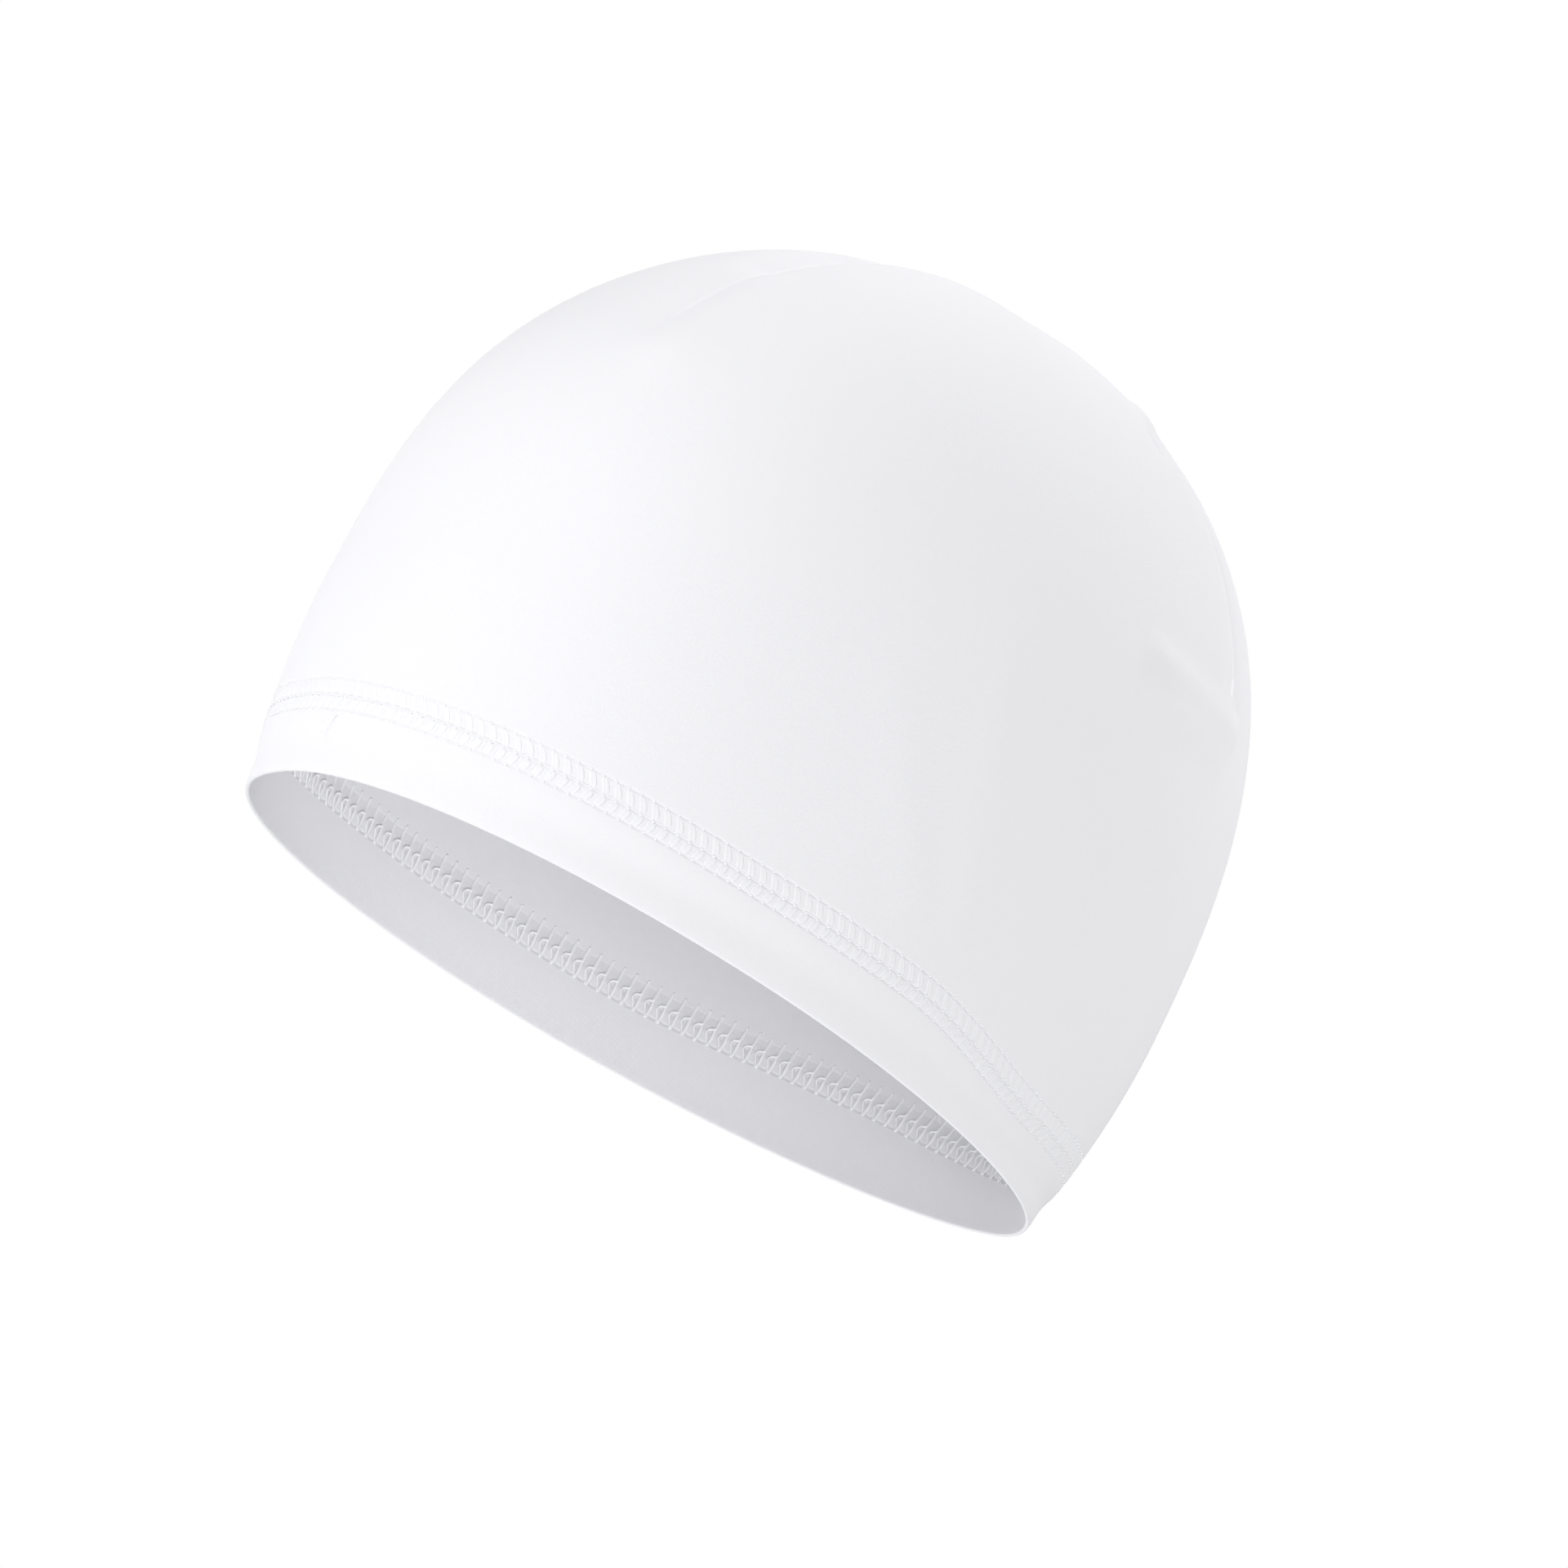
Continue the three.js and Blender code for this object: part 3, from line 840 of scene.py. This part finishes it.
class LINER_OT_hem_band(bpy.types.Operator):
    """Build the hem band, folded double at the rim"""

    bl_idname = "liner.hem_band"
    bl_label = "Hem band"

    PLAIN_ROWS = 12
    FOLD_ROWS = 7
    MARGIN = 1.0  # the finely modelled rows reach this far past the outer needle lines
    INNER_MARGIN = 1.3
    LAP_GAP = 0.2  # the inner layer's upper face lies this far inside the crown's cloth
    LAST_ROW = 0.05  # the finely modelled rows end this far below the joint
    JOINT_GAP = 0.02  # to the crown's edge
    EDGE_ROUNDING = 0.15  # of the raw edge

    def execute(self, context):
        cloth = context.scene.liner_cloth
        stitch = context.scene.liner_stitch
        even = column_angles(0, STITCH_DETAIL)
        coarse = even[::STITCH_DETAIL]
        distance = HemLine.distance_at(even)
        full = cloth.hem_thickness / MM
        pressed = cloth.fold_thickness / MM
        lap = full - cloth.thickness / MM + self.LAP_GAP
        half = STITCH_WIDTH / 2
        joint = joint_height(coarse)

        def ring(angles, height, depth):
            points, outward = cloth_frame(angles, up_at_height(height))
            return points - outward * np.broadcast_to(depth, angles.shape)[:, None]

        rings = []
        for turn in np.linspace(0.5, 0, self.FOLD_ROWS)[:-1]:
            rings.append(self.fold_ring(ring, coarse, turn, pressed))
        for share in np.linspace(0, 1, self.PLAIN_ROWS)[:-1]:
            height = lerp(FOLD_HEIGHT, joint - half - self.MARGIN, share)
            rings.append(ring(coarse, height, cloth.waist / MM * math.sin(math.pi * share) ** 2))
        for rise in stitched_rises(-half - self.MARGIN, -self.LAST_ROW, stitch):
            relief = outer_stitch_relief(distance, rise, stitch)
            rings.append(ring(even, joint_height(even) + rise, -relief))
        edge = outer_stitch_relief(distance, 0, stitch)
        rings.append(ring(even, joint_height(even) - self.JOINT_GAP, -edge))
        rings.append(ring(coarse, joint - self.JOINT_GAP, lap))
        rings.append(ring(coarse, joint + half + RAW_EDGE + self.EDGE_ROUNDING, lap))
        for rise in reversed(stitched_rises(-half - self.INNER_MARGIN, half + RAW_EDGE, stitch)):
            relief = inner_stitch_relief(distance, rise, stitch)
            rings.append(ring(even, joint_height(even) + rise, inner_depth(rise, cloth) + relief))
        for share in np.linspace(1, 0, self.PLAIN_ROWS)[1:]:
            height = lerp(FOLD_HEIGHT, joint - half - self.INNER_MARGIN, share)
            rings.append(ring(coarse, height, lerp(pressed, full, smoothstep(share, 0, 1))))
        for turn in np.linspace(1, 0.5, self.FOLD_ROWS)[1:-1]:
            rings.append(self.fold_ring(ring, coarse, turn, pressed))
        band = cloth_skin("hem_band_knit", rings, stretch_knit(cloth), closed=True)
        place_piece(band, ["hem_band"])
        return {"FINISHED"}

    @staticmethod
    def fold_ring(ring, angles, turn, full):
        """A ring of the fold at the rim. turn is 0 outside, 0.5 at the rim and 1 inside."""
        depth = full * (0.5 - 0.5 * math.cos(math.pi * turn))
        return ring(angles, FOLD_HEIGHT * (1 - math.sin(math.pi * turn)), depth)


EDGE_TAPER = 6  # the inner layer's pressed raw edge thins over this height
EDGE_SINK = 0.1  # and ends this far inside the crown's layer


def inner_depth(rise, cloth):
    """Depth of the hem's inner face at a height above the joint."""
    below_edge = STITCH_WIDTH / 2 + RAW_EDGE - np.asarray(rise)
    edge = cloth.thickness / MM - EDGE_SINK
    return lerp(edge, cloth.hem_thickness / MM, smoothstep(below_edge, 0, EDGE_TAPER))


def on_hem(distance, rise, lift, depth=None):
    """Points beside the hem's outer face, or its inner face where a depth is given, and the
    directions away from the cloth. lift is the distance from the face."""
    angle = HemLine.angle_at(distance)
    points, outward = cloth_frame(angle, up_at_height(joint_height(angle) + rise))
    if depth is None:
        return points + outward * np.asarray(lift)[..., None], outward
    return points - outward * (depth + np.asarray(lift))[..., None], -outward


THREAD_SIDES = 6


def thread_mesh(name, centres, away, wide, high, material, closed=False):
    """Flattened threads along lines of points. centres and away have a row for each thread, and
    wide and high are one size or a size for each point."""
    threads, count = centres.shape[:2]
    sides = THREAD_SIDES
    wide = np.broadcast_to(wide, (threads, count))
    high = np.broadcast_to(high, (threads, count))
    if closed:
        tangent = unit(np.roll(centres, -1, axis=1) - np.roll(centres, 1, axis=1))
    else:
        tangent = unit(np.gradient(centres, axis=1))
    side = unit(np.cross(tangent, away))
    lift = np.cross(side, tangent)
    turns = 2 * math.pi * np.arange(sides) / sides
    ring = (
        side[:, :, None, :] * (np.cos(turns) * wide[:, :, None] / 2)[..., None]
        + lift[:, :, None, :] * (np.sin(turns) * high[:, :, None] / 2)[..., None]
    )
    points = (centres[:, :, None, :] + ring).reshape(-1, 3)
    steps = count if closed else count - 1
    first = (np.arange(threads) * count * sides)[:, None, None]
    here = first + (np.arange(steps) * sides)[None, :, None]
    there = first + ((np.arange(steps) + 1) % count * sides)[None, :, None]
    turn, following = np.arange(sides), (np.arange(sides) + 1) % sides
    quads = np.stack([here + turn, there + turn, there + following, here + following], -1).reshape(-1, 4)
    length = np.linalg.norm(np.diff(centres, axis=1), axis=-1).mean()
    along = np.broadcast_to(np.arange(steps)[None, :, None], (threads, steps, sides)).ravel() * length
    thick = float(wide.mean()) * math.pi / sides
    around = np.broadcast_to(np.arange(sides), (threads, steps, sides)).ravel() * thick
    far, over = along + length, around + thick
    corners = np.stack([along, around, far, around, far, over, along, over], -1).reshape(-1, 2)
    faces = quads.tolist()
    if not closed:
        for start in range(threads):
            low = start * count * sides
            high_end = low + (count - 1) * sides
            faces.append([low + i for i in range(sides)])
            faces.append([high_end + i for i in reversed(range(sides))])
        corners = np.concatenate([corners, np.zeros((threads * 2 * sides, 2))])
    return mesh_object(name, points, faces, corners, material)


class LINER_OT_cover_stitch(bpy.types.Operator):
    """Build the cover thread that zigzags between the needle lines on the outside"""

    bl_idname = "liner.cover_stitch"
    bl_label = "Cover stitch"

    # The two strands of a stroke on their way from the top needle line (0) by the middle one (1)
    # to the bottom one (2), in millimetres: from the stroke's middle line, wide, and lifted. At
    # each line the needle thread pulls them down into the cloth.
    STRANDS = table(
        "way apart wide lift",
        (0.00, 0.24, 0.60, -0.34),
        (0.05, 0.26, 0.65, -0.22),
        (0.14, 0.32, 0.80, -0.05),
        (0.40, 0.36, 1.10, -0.04),
        (0.65, 0.38, 1.15, -0.04),
        (0.87, 0.38, 1.10, -0.05),
        (0.95, 0.38, 1.00, -0.18),
        (1.00, 0.38, 1.00, -0.26),
        (1.06, 0.40, 1.10, -0.18),
        (1.16, 0.42, 1.25, -0.04),
        (1.40, 0.44, 1.40, -0.04),
        (1.65, 0.40, 1.30, -0.04),
        (1.84, 0.32, 1.05, -0.05),
        (1.94, 0.30, 0.75, -0.22),
        (2.00, 0.26, 0.65, -0.34))
    HIDDEN_PLACE = 0.5  # between strokes the thread dives under the cloth, in stitch lengths
    HIDDEN_LIFT = -0.5

    def execute(self, context):
        stitch = context.scene.liner_stitch
        count = stitch_count(stitch)
        pitch = HemLine.total / count
        top = needle_lines(stitch)[0]
        way, apart, wide, lift = self.STRANDS.values()
        rise = np.interp(way, (0, 1, 2), needle_lines(stitch))
        lean = stroke_lean(rise, stitch)
        hidden = lean[0] + self.HIDDEN_PLACE
        along = np.concatenate([lean - apart / pitch, (lean + apart / pitch)[::-1], [hidden]])
        heights = np.concatenate([rise, rise[::-1], [top]])
        lifts = np.concatenate([lift, lift[::-1], [self.HIDDEN_LIFT]])
        widths = np.concatenate([wide, wide[::-1], [wide[0]]])
        distance = stitch_distance((np.arange(count)[:, None] + along[None, :]).ravel(), stitch)
        centres, away = on_hem(distance, np.tile(heights, count), np.tile(lifts, count))
        cover = thread_mesh(
            "cover_stitch_thread", centres[None], away[None], np.tile(widths, count),
            stitch.cover_height / MM, cover_thread(stitch), closed=True)
        place_piece(cover)
        return {"FINISHED"}


class LINER_OT_needle_threads(bpy.types.Operator):
    """Build the three lines of needle thread"""

    bl_idname = "liner.needle_threads"
    bl_label = "Needle threads"

    POINTS = 9
    FLATTENED = 0.8  # height of the thread as a share of its width
    # Each dash lies over a stroke: half its length in stitch lengths, and how far it is lifted
    # and tilted
    DASHES = table("reach lift tilt", (0.12, 0.12, 0), (0.15, 0.18, 0.45), (0.14, 0.12, 0.3))
    HIDDEN_LIFT = -0.45  # of a dash's ends
    ARCH = 1.3  # how narrow a dash's highest part is
    # The thread's loose end hangs from the bottom line near the front: its plan angle in
    # degrees and height at the start and the end, how far the end stands off, and how it winds:
    # how far as a share of its length, and how often in radians
    TAIL_START = (15.8, 12.9)
    TAIL_END = (13.8, 7.9)
    TAIL_LIFT = 0.9
    TAIL_CURL = 1.5  # how late it lifts
    TAIL_WAVE = 0.06
    TAIL_TURN = 5

    def execute(self, context):
        stitch = context.scene.liner_stitch
        count = stitch_count(stitch)
        pitch = HemLine.total / count
        thick = stitch.needle_thread / MM
        all_centres, all_away = [], []
        for line, reach, lifted, tilt in zip(needle_lines(stitch), *self.DASHES.values()):
            lean = float(stroke_lean(line, stitch))
            share = np.linspace(-reach, reach, self.POINTS)
            over = np.cos(math.pi * share / (2 * reach)) ** self.ARCH
            distance = stitch_distance(np.arange(count)[:, None] + lean + share[None, :], stitch)
            rise = np.broadcast_to(line + tilt * share * pitch, distance.shape)
            lift = np.broadcast_to(lerp(self.HIDDEN_LIFT, lifted, over), distance.shape)
            centres, away = on_hem(distance, rise, lift)
            all_centres.append(centres)
            all_away.append(away)
        tail_centres, tail_away = self.tail()
        all_centres.append(tail_centres)
        all_away.append(tail_away)
        needles = thread_mesh(
            "needle_threads", np.concatenate(all_centres), np.concatenate(all_away),
            thick, self.FLATTENED * thick, needle_thread(stitch))
        place_piece(needles)
        return {"FINISHED"}

    def tail(self):
        share = np.linspace(0, 1, self.POINTS)
        winding = share + self.TAIL_WAVE * np.sin(self.TAIL_TURN * share)
        angle = np.radians(lerp(self.TAIL_START[0], self.TAIL_END[0], winding))
        height = lerp(self.TAIL_START[1], self.TAIL_END[1], share)
        points, outward = cloth_frame(angle, up_at_height(height))
        lift = self.TAIL_LIFT * np.sin(math.pi / 2 * share) ** self.TAIL_CURL
        return (points + outward * lift[:, None])[None], outward[None]


class LINER_OT_looper_threads(bpy.types.Operator):
    """Build the looper thread on the inside of the hem"""

    bl_idname = "liner.looper_threads"
    bl_label = "Looper threads"

    # One stitch of the thread's way, seen from inside with the front at the left: stitch
    # lengths along the hem, height from the bottom knots (0) by the middle line (1) to the top
    # knots (2), and lift and width in millimetres
    WAY = table(
        "along height lift wide",
        (0.05, 2.00, 0.12, 0.70),
        (0.03, 1.86, 0.02, 0.62),
        (0.01, 1.50, 0.00, 0.80),
        (0.00, 1.20, 0.00, 0.80),
        (0.02, 1.00, 0.00, 0.76),
        (0.05, 0.75, 0.00, 0.86),
        (0.06, 0.45, 0.00, 0.86),
        (0.03, 0.20, 0.04, 0.80),
        (-0.03, 0.00, 0.12, 0.86),
        (-0.12, 0.12, 0.00, 0.56),
        (-0.24, 0.34, -0.02, 0.50),
        (-0.38, 0.58, 0.00, 0.50),
        (-0.49, 0.74, 0.10, 0.56),
        (-0.46, 0.90, 0.08, 0.52),
        (-0.34, 1.02, 0.16, 0.56),
        (-0.16, 1.05, 0.24, 0.62),
        (-0.01, 1.13, 0.18, 0.60),
        (0.05, 1.40, 0.06, 0.66),
        (0.07, 1.75, 0.06, 0.66),
        (0.11, 1.95, 0.04, 0.60),
        (0.17, 1.88, -0.20, 0.50),
        (0.30, 1.80, -0.55, 0.30),
        (0.72, 1.80, -0.55, 0.30),
        (0.93, 1.90, -0.25, 0.50))
    TOP_KNOTS = 0.5  # above the top needle line
    BOTTOM_KNOTS = 0.9  # below the bottom needle line
    SMOOTHING = 3  # points between the stations of the way

    def execute(self, context):
        stitch = context.scene.liner_stitch
        cloth = context.scene.liner_cloth
        count = stitch_count(stitch)
        top, middle, bottom = needle_lines(stitch)
        way = np.stack(list(self.WAY.values()), 1)
        knots = bottom - self.BOTTOM_KNOTS, middle, top + self.TOP_KNOTS
        way[:, 1] = np.interp(way[:, 1], (0, 1, 2), knots)
        stations = np.concatenate([way + (k, 0, 0, 0) for k in range(count)])
        stations = smooth_closed(stations, self.SMOOTHING, (count, 0, 0, 0))
        distance = stitch_distance(count - np.mod(stations[:, 0], count), stitch)
        depth = inner_depth(stations[:, 1], cloth)
        centres, away = on_hem(distance, stations[:, 1], stations[:, 2], depth)
        looper = thread_mesh(
            "looper_thread", centres[None], away[None], stations[None, :, 3],
            stitch.looper_height / MM, looper_thread(stitch), closed=True)
        place_piece(looper)
        return {"FINISHED"}


def smooth_closed(stations, between, jump):
    """A smooth line through stations that repeat with a jump, with points between them."""
    jump = np.array(jump, float)
    before = np.concatenate([stations[-1:] - jump, stations[:-1]])
    after = np.concatenate([stations[1:], stations[:1] + jump])
    later = np.concatenate([after[1:], after[:1] + jump])
    rows = []
    for t in np.arange(between) / between:
        rows.append(
            0.5 * (2 * stations + (after - before) * t
                   + (2 * before - 5 * stations + 4 * after - later) * t**2
                   + (3 * stations - before - 3 * after + later) * t**3))
    return np.stack(rows, 1).reshape(-1, stations.shape[1])


class LINER_OT_dart_seams(bpy.types.Operator):
    """Build the overlocked seam allowances inside the four darts"""

    bl_idname = "liner.dart_seams"
    bl_label = "Dart seams"

    START = 110  # heights of the allowance's lower and upper end
    END = 169
    LINE_POINTS = 400
    HEIGHT_STEPS = 4001
    WIDTH = 6
    THICK = 1.2
    GAP = 0.15  # to the crown's inside
    TIP_SHARE = 0.25  # its width at the lower end, as a share of WIDTH
    TAPER = 20  # length over which it widens
    STRIP_POINTS = 70
    STITCH = 2.2  # length of an overlock stitch
    THREAD = 0.45
    FLATTENED = 0.7  # height of the thread as a share of its width
    NEEDLE_PLACE = -0.36  # the overlock's needle line, as a share of the width
    # The allowance's section round from the crown's side: shares of its width and thickness
    SECTION = table(
        "across down",
        (-0.5, 0.15), (-0.44, 0), (0.44, 0), (0.5, 0.15), (0.5, 0.85), (0.44, 1), (-0.44, 1), (-0.5, 0.85))
    # An overlock stitch: stitch lengths along, place across from the needle line (0) to the cut
    # edge (1), and depth from the crown's side (0) to the inside (1)
    OVERLOCK = table(
        "along across down",
        (0, 0, 1.1), (0.2, 0.35, 1.14), (0.4, 0.75, 1.14), (0.47, 1.02, 0.9),
        (0.5, 1.05, 0.4), (0.53, 1.02, 0.9), (0.6, 0.75, 1.18), (0.8, 0.35, 1.18))

    def execute(self, context):
        cloth = context.scene.liner_cloth
        stitch = context.scene.liner_stitch
        under = cloth.thickness / MM + self.GAP
        for index, dart in enumerate(DART_NAMES):
            line = self.seam_line(index)
            share = np.linspace(0, 1, self.STRIP_POINTS)
            rings = [
                self.place(line, share, across * self.width_at(line, share), under + down * self.THICK)
                for across, down in zip(*self.SECTION.values())
            ]
            strip = self.strip_mesh(f"dart_allowance_{dart}", np.stack(rings, 1), stretch_knit(cloth))
            place_piece(strip, [f"dart_seam_{dart}"])
            overlock = self.overlock(f"dart_overlock_{dart}", line, under, looper_thread(stitch))
            place_piece(overlock)
        return {"FINISHED"}

    def seam_line(self, index):
        """Points along a seam, the directions out of the cloth and across the seam, and the length
        to each."""
        ups = up_on_cap(np.linspace(self.START, self.END, self.LINE_POINTS), self.HEIGHT_STEPS)
        seam = dart_angles(ups)[index]
        points, outward = cloth_frame(seam, ups)
        along = unit(np.gradient(points, axis=0))
        length = np.concatenate([[0], np.cumsum(np.linalg.norm(np.diff(points, axis=0), axis=1))])
        side = unit(np.cross(along, outward))
        return {"points": points, "outward": outward, "side": side, "length": length}

    def width_at(self, line, share):
        length = share * line["length"][-1]
        return self.WIDTH * lerp(self.TIP_SHARE, 1, smoothstep(length, 0, self.TAPER))

    def place(self, line, share, across, below):
        """Points on the inside of a seam, at shares of its length."""
        length = share * line["length"][-1]
        points, outward, side = (self.along(line, key, length) for key in ("points", "outward", "side"))
        across, below = np.broadcast_to(across, share.shape), np.broadcast_to(below, share.shape)
        return points - outward * below[:, None] + side * across[:, None]

    @staticmethod
    def along(line, key, length):
        return np.stack([np.interp(length, line["length"], line[key][:, axis]) for axis in range(3)], -1)

    def overlock(self, name, line, under, material):
        """A thread that zigzags over the allowance from its needle line to its cut edge."""
        count = int(line["length"][-1] / self.STITCH)
        step = np.arange(count)[:, None]
        along, across, down = self.OVERLOCK.values()
        share = ((step + along) / count).ravel()
        place = np.tile(lerp(self.NEEDLE_PLACE, 0.5, across), count) * self.width_at(line, share)
        centres = self.place(line, share, place, under + np.tile(down, count) * self.THICK)
        away = -self.along(line, "outward", share * line["length"][-1])
        return thread_mesh(
            name, centres[None], away[None], self.THREAD, self.FLATTENED * self.THREAD, material)

    @staticmethod
    def strip_mesh(name, rings, material):
        """A closed strip from its cross sections, one after another."""
        count, around = rings.shape[:2]
        faces, corners = [], []
        length = np.linalg.norm(np.diff(rings[:, 0], axis=0), axis=1).mean()
        wide = np.linalg.norm(rings[0] - np.roll(rings[0], 1, axis=0), axis=1).mean()
        for row in range(count - 1):
            for turn in range(around):
                following = (turn + 1) % around
                a, b = row * around, (row + 1) * around
                faces.append((a + turn, a + following, b + following, b + turn))
                corners += [(turn * wide, row * length), ((turn + 1) * wide, row * length),
                            ((turn + 1) * wide, (row + 1) * length), (turn * wide, (row + 1) * length)]
        last = (count - 1) * around
        faces += [tuple(reversed(range(around))), tuple(range(last, last + around))]
        corners += [(0, 0)] * (2 * around)
        return mesh_object(name, rings.reshape(-1, 3), faces, corners, material)


def direction(azimuth, elevation):
    """The way from the cap that lies round from its front and above level."""
    return Vector((
        math.sin(azimuth) * math.cos(elevation),
        -math.cos(azimuth) * math.cos(elevation),
        math.sin(elevation)))


class LINER_OT_stage(bpy.types.Operator):
    """Make the floor, the white surround, the light and the camera"""

    bl_idname = "liner.stage"
    bl_label = "Stage"

    FLOOR_HALF_WIDTH = 4.0
    # Soft lamps round the cap: degrees round from its front, degrees above level, and strength
    LAMPS = (
        {"name": "key_softbox", "azimuth": 0, "elevation": 30, "strength": 0.5},
        {"name": "front_softbox", "azimuth": 30, "elevation": 0, "strength": 0.63},
        {"name": "low_side_softbox", "azimuth": 90, "elevation": -30, "strength": 0.55},
        {"name": "low_front_softbox", "azimuth": -60, "elevation": -30, "strength": 0.57},
        {"name": "low_back_softbox", "azimuth": 150, "elevation": -30, "strength": 0.28},
        {"name": "top_back_softbox", "azimuth": 180, "elevation": 60, "strength": 1.2},
    )

    def execute(self, context):
        scene = context.scene
        stage = scene.liner_stage
        low, high = (np.array(corner) for corner in CAD_BOX)
        middle = Vector((low + high) / 2)
        self.make_floor(stage)
        scene.world = self.make_surround(stage)
        for row in self.LAMPS:
            self.make_lamp(scene, stage, middle, row)
        self.make_camera(scene, stage)
        scene.view_settings.view_transform = "Standard"
        return {"FINISHED"}

    @staticmethod
    def make_surround(stage):
        """White all round. It is a plain bright backdrop to the eye, and lights softly."""
        world = bpy.data.worlds.new("white_surround")
        world.use_nodes = True
        tree = world.node_tree
        tree.nodes.clear()
        ray = add_node(tree, "ShaderNodeLightPath")
        strength = add_node(
            tree, "ShaderNodeMath", {"operation": "MULTIPLY_ADD"},
            {0: ray.outputs["Is Camera Ray"], 1: stage.backdrop - stage.surround, 2: stage.surround})
        background = add_node(
            tree, "ShaderNodeBackground", inputs={"Color": linear("#ffffff"), "Strength": strength})
        add_node(tree, "ShaderNodeOutputWorld", inputs={"Surface": background})
        return world

    @staticmethod
    def make_lamp(scene, stage, middle, row):
        """A soft square lamp that points at the cap."""
        way = direction(math.radians(row["azimuth"]), math.radians(row["elevation"]))
        data = bpy.data.lights.new(row["name"], "AREA")
        data.size = stage.lamp_size
        data.energy = stage.lamp_power * row["strength"]
        data.color = linear("#ffffff")[:3]
        lamp = bpy.data.objects.new(row["name"], data)
        lamp.location = middle + way * stage.lamp_distance
        lamp.rotation_euler = way.to_track_quat("Z", "Y").to_euler()
        scene.collection.objects.link(lamp)

    def make_floor(self, stage):
        half = self.FLOOR_HALF_WIDTH / MM
        drop = -stage.floor_drop / MM
        corners = (-half, -half), (half, -half), (half, half), (-half, half)
        points = np.array([(*corner, drop) for corner in corners])
        paper = studio_paper(stage.floor_colour)
        mesh_object("floor", points, [(0, 1, 2, 3)], points[:, :2], paper)

    @staticmethod
    def make_camera(scene, stage):
        """Places the camera by its azimuth, elevation and roll round the cap."""
        back = direction(stage.azimuth, stage.elevation)
        right = Vector((math.cos(stage.azimuth), math.sin(stage.azimuth), 0))
        up = back.cross(right)
        across = right * math.cos(stage.roll) + up * math.sin(stage.roll)
        above = up * math.cos(stage.roll) - right * math.sin(stage.roll)
        data = bpy.data.cameras.new("camera")
        data.sensor_width = 36
        data.lens = data.sensor_width * stage.distance / stage.picture_width
        data.clip_end = 50
        camera = bpy.data.objects.new("camera", data)
        turn = Matrix((across, above, back)).transposed()
        place = back * stage.distance + right * stage.aim_right + up * stage.aim_up
        camera.matrix_world = Matrix.Translation(place) @ turn.to_4x4()
        scene.collection.objects.link(camera)
        scene.camera = camera


class LINER_PT_panel(bpy.types.Panel):
    """Lists the liner's settings and its pieces"""

    bl_idname = "LINER_PT_panel"
    bl_label = "Helmet Liner"
    bl_space_type = "VIEW_3D"
    bl_region_type = "UI"
    bl_category = "Helmet Liner"

    def draw(self, context):
        layout = self.layout
        for name in SETTINGS:
            settings = getattr(context.scene, name)
            box = layout.box()
            for key in settings.__annotations__:
                box.prop(settings, key)
        for operator in OPERATORS:
            layout.operator(operator.bl_idname)


SETTINGS = {
    "liner_cloth": LinerClothSettings,
    "liner_stitch": LinerStitchSettings,
    "liner_stage": LinerStageSettings,
}
OPERATORS = (
    LINER_OT_stage,
    LINER_OT_crown,
    LINER_OT_hem_band,
    LINER_OT_cover_stitch,
    LINER_OT_needle_threads,
    LINER_OT_looper_threads,
    LINER_OT_dart_seams,
)


def register():
    for settings in SETTINGS.values():
        bpy.utils.register_class(settings)
    for operator in OPERATORS:
        bpy.utils.register_class(operator)
    bpy.utils.register_class(LINER_PT_panel)
    for name, settings in SETTINGS.items():
        setattr(bpy.types.Scene, name, bpy.props.PointerProperty(type=settings))


def unregister():
    for name in SETTINGS:
        delattr(bpy.types.Scene, name)
    bpy.utils.unregister_class(LINER_PT_panel)
    for operator in reversed(OPERATORS):
        bpy.utils.unregister_class(operator)
    for settings in reversed(SETTINGS.values()):
        bpy.utils.unregister_class(settings)


def main():
    register()
    for operator in OPERATORS:
        group, name = operator.bl_idname.split(".")
        getattr(getattr(bpy.ops, group), name)()
    sewn_on = ["hem_band_knit", "cover_stitch_thread", "needle_threads", "looper_thread"]
    for dart in DART_NAMES:
        sewn_on += [f"dart_allowance_{dart}", f"dart_overlock_{dart}"]


if __name__ == "__main__":
    main()
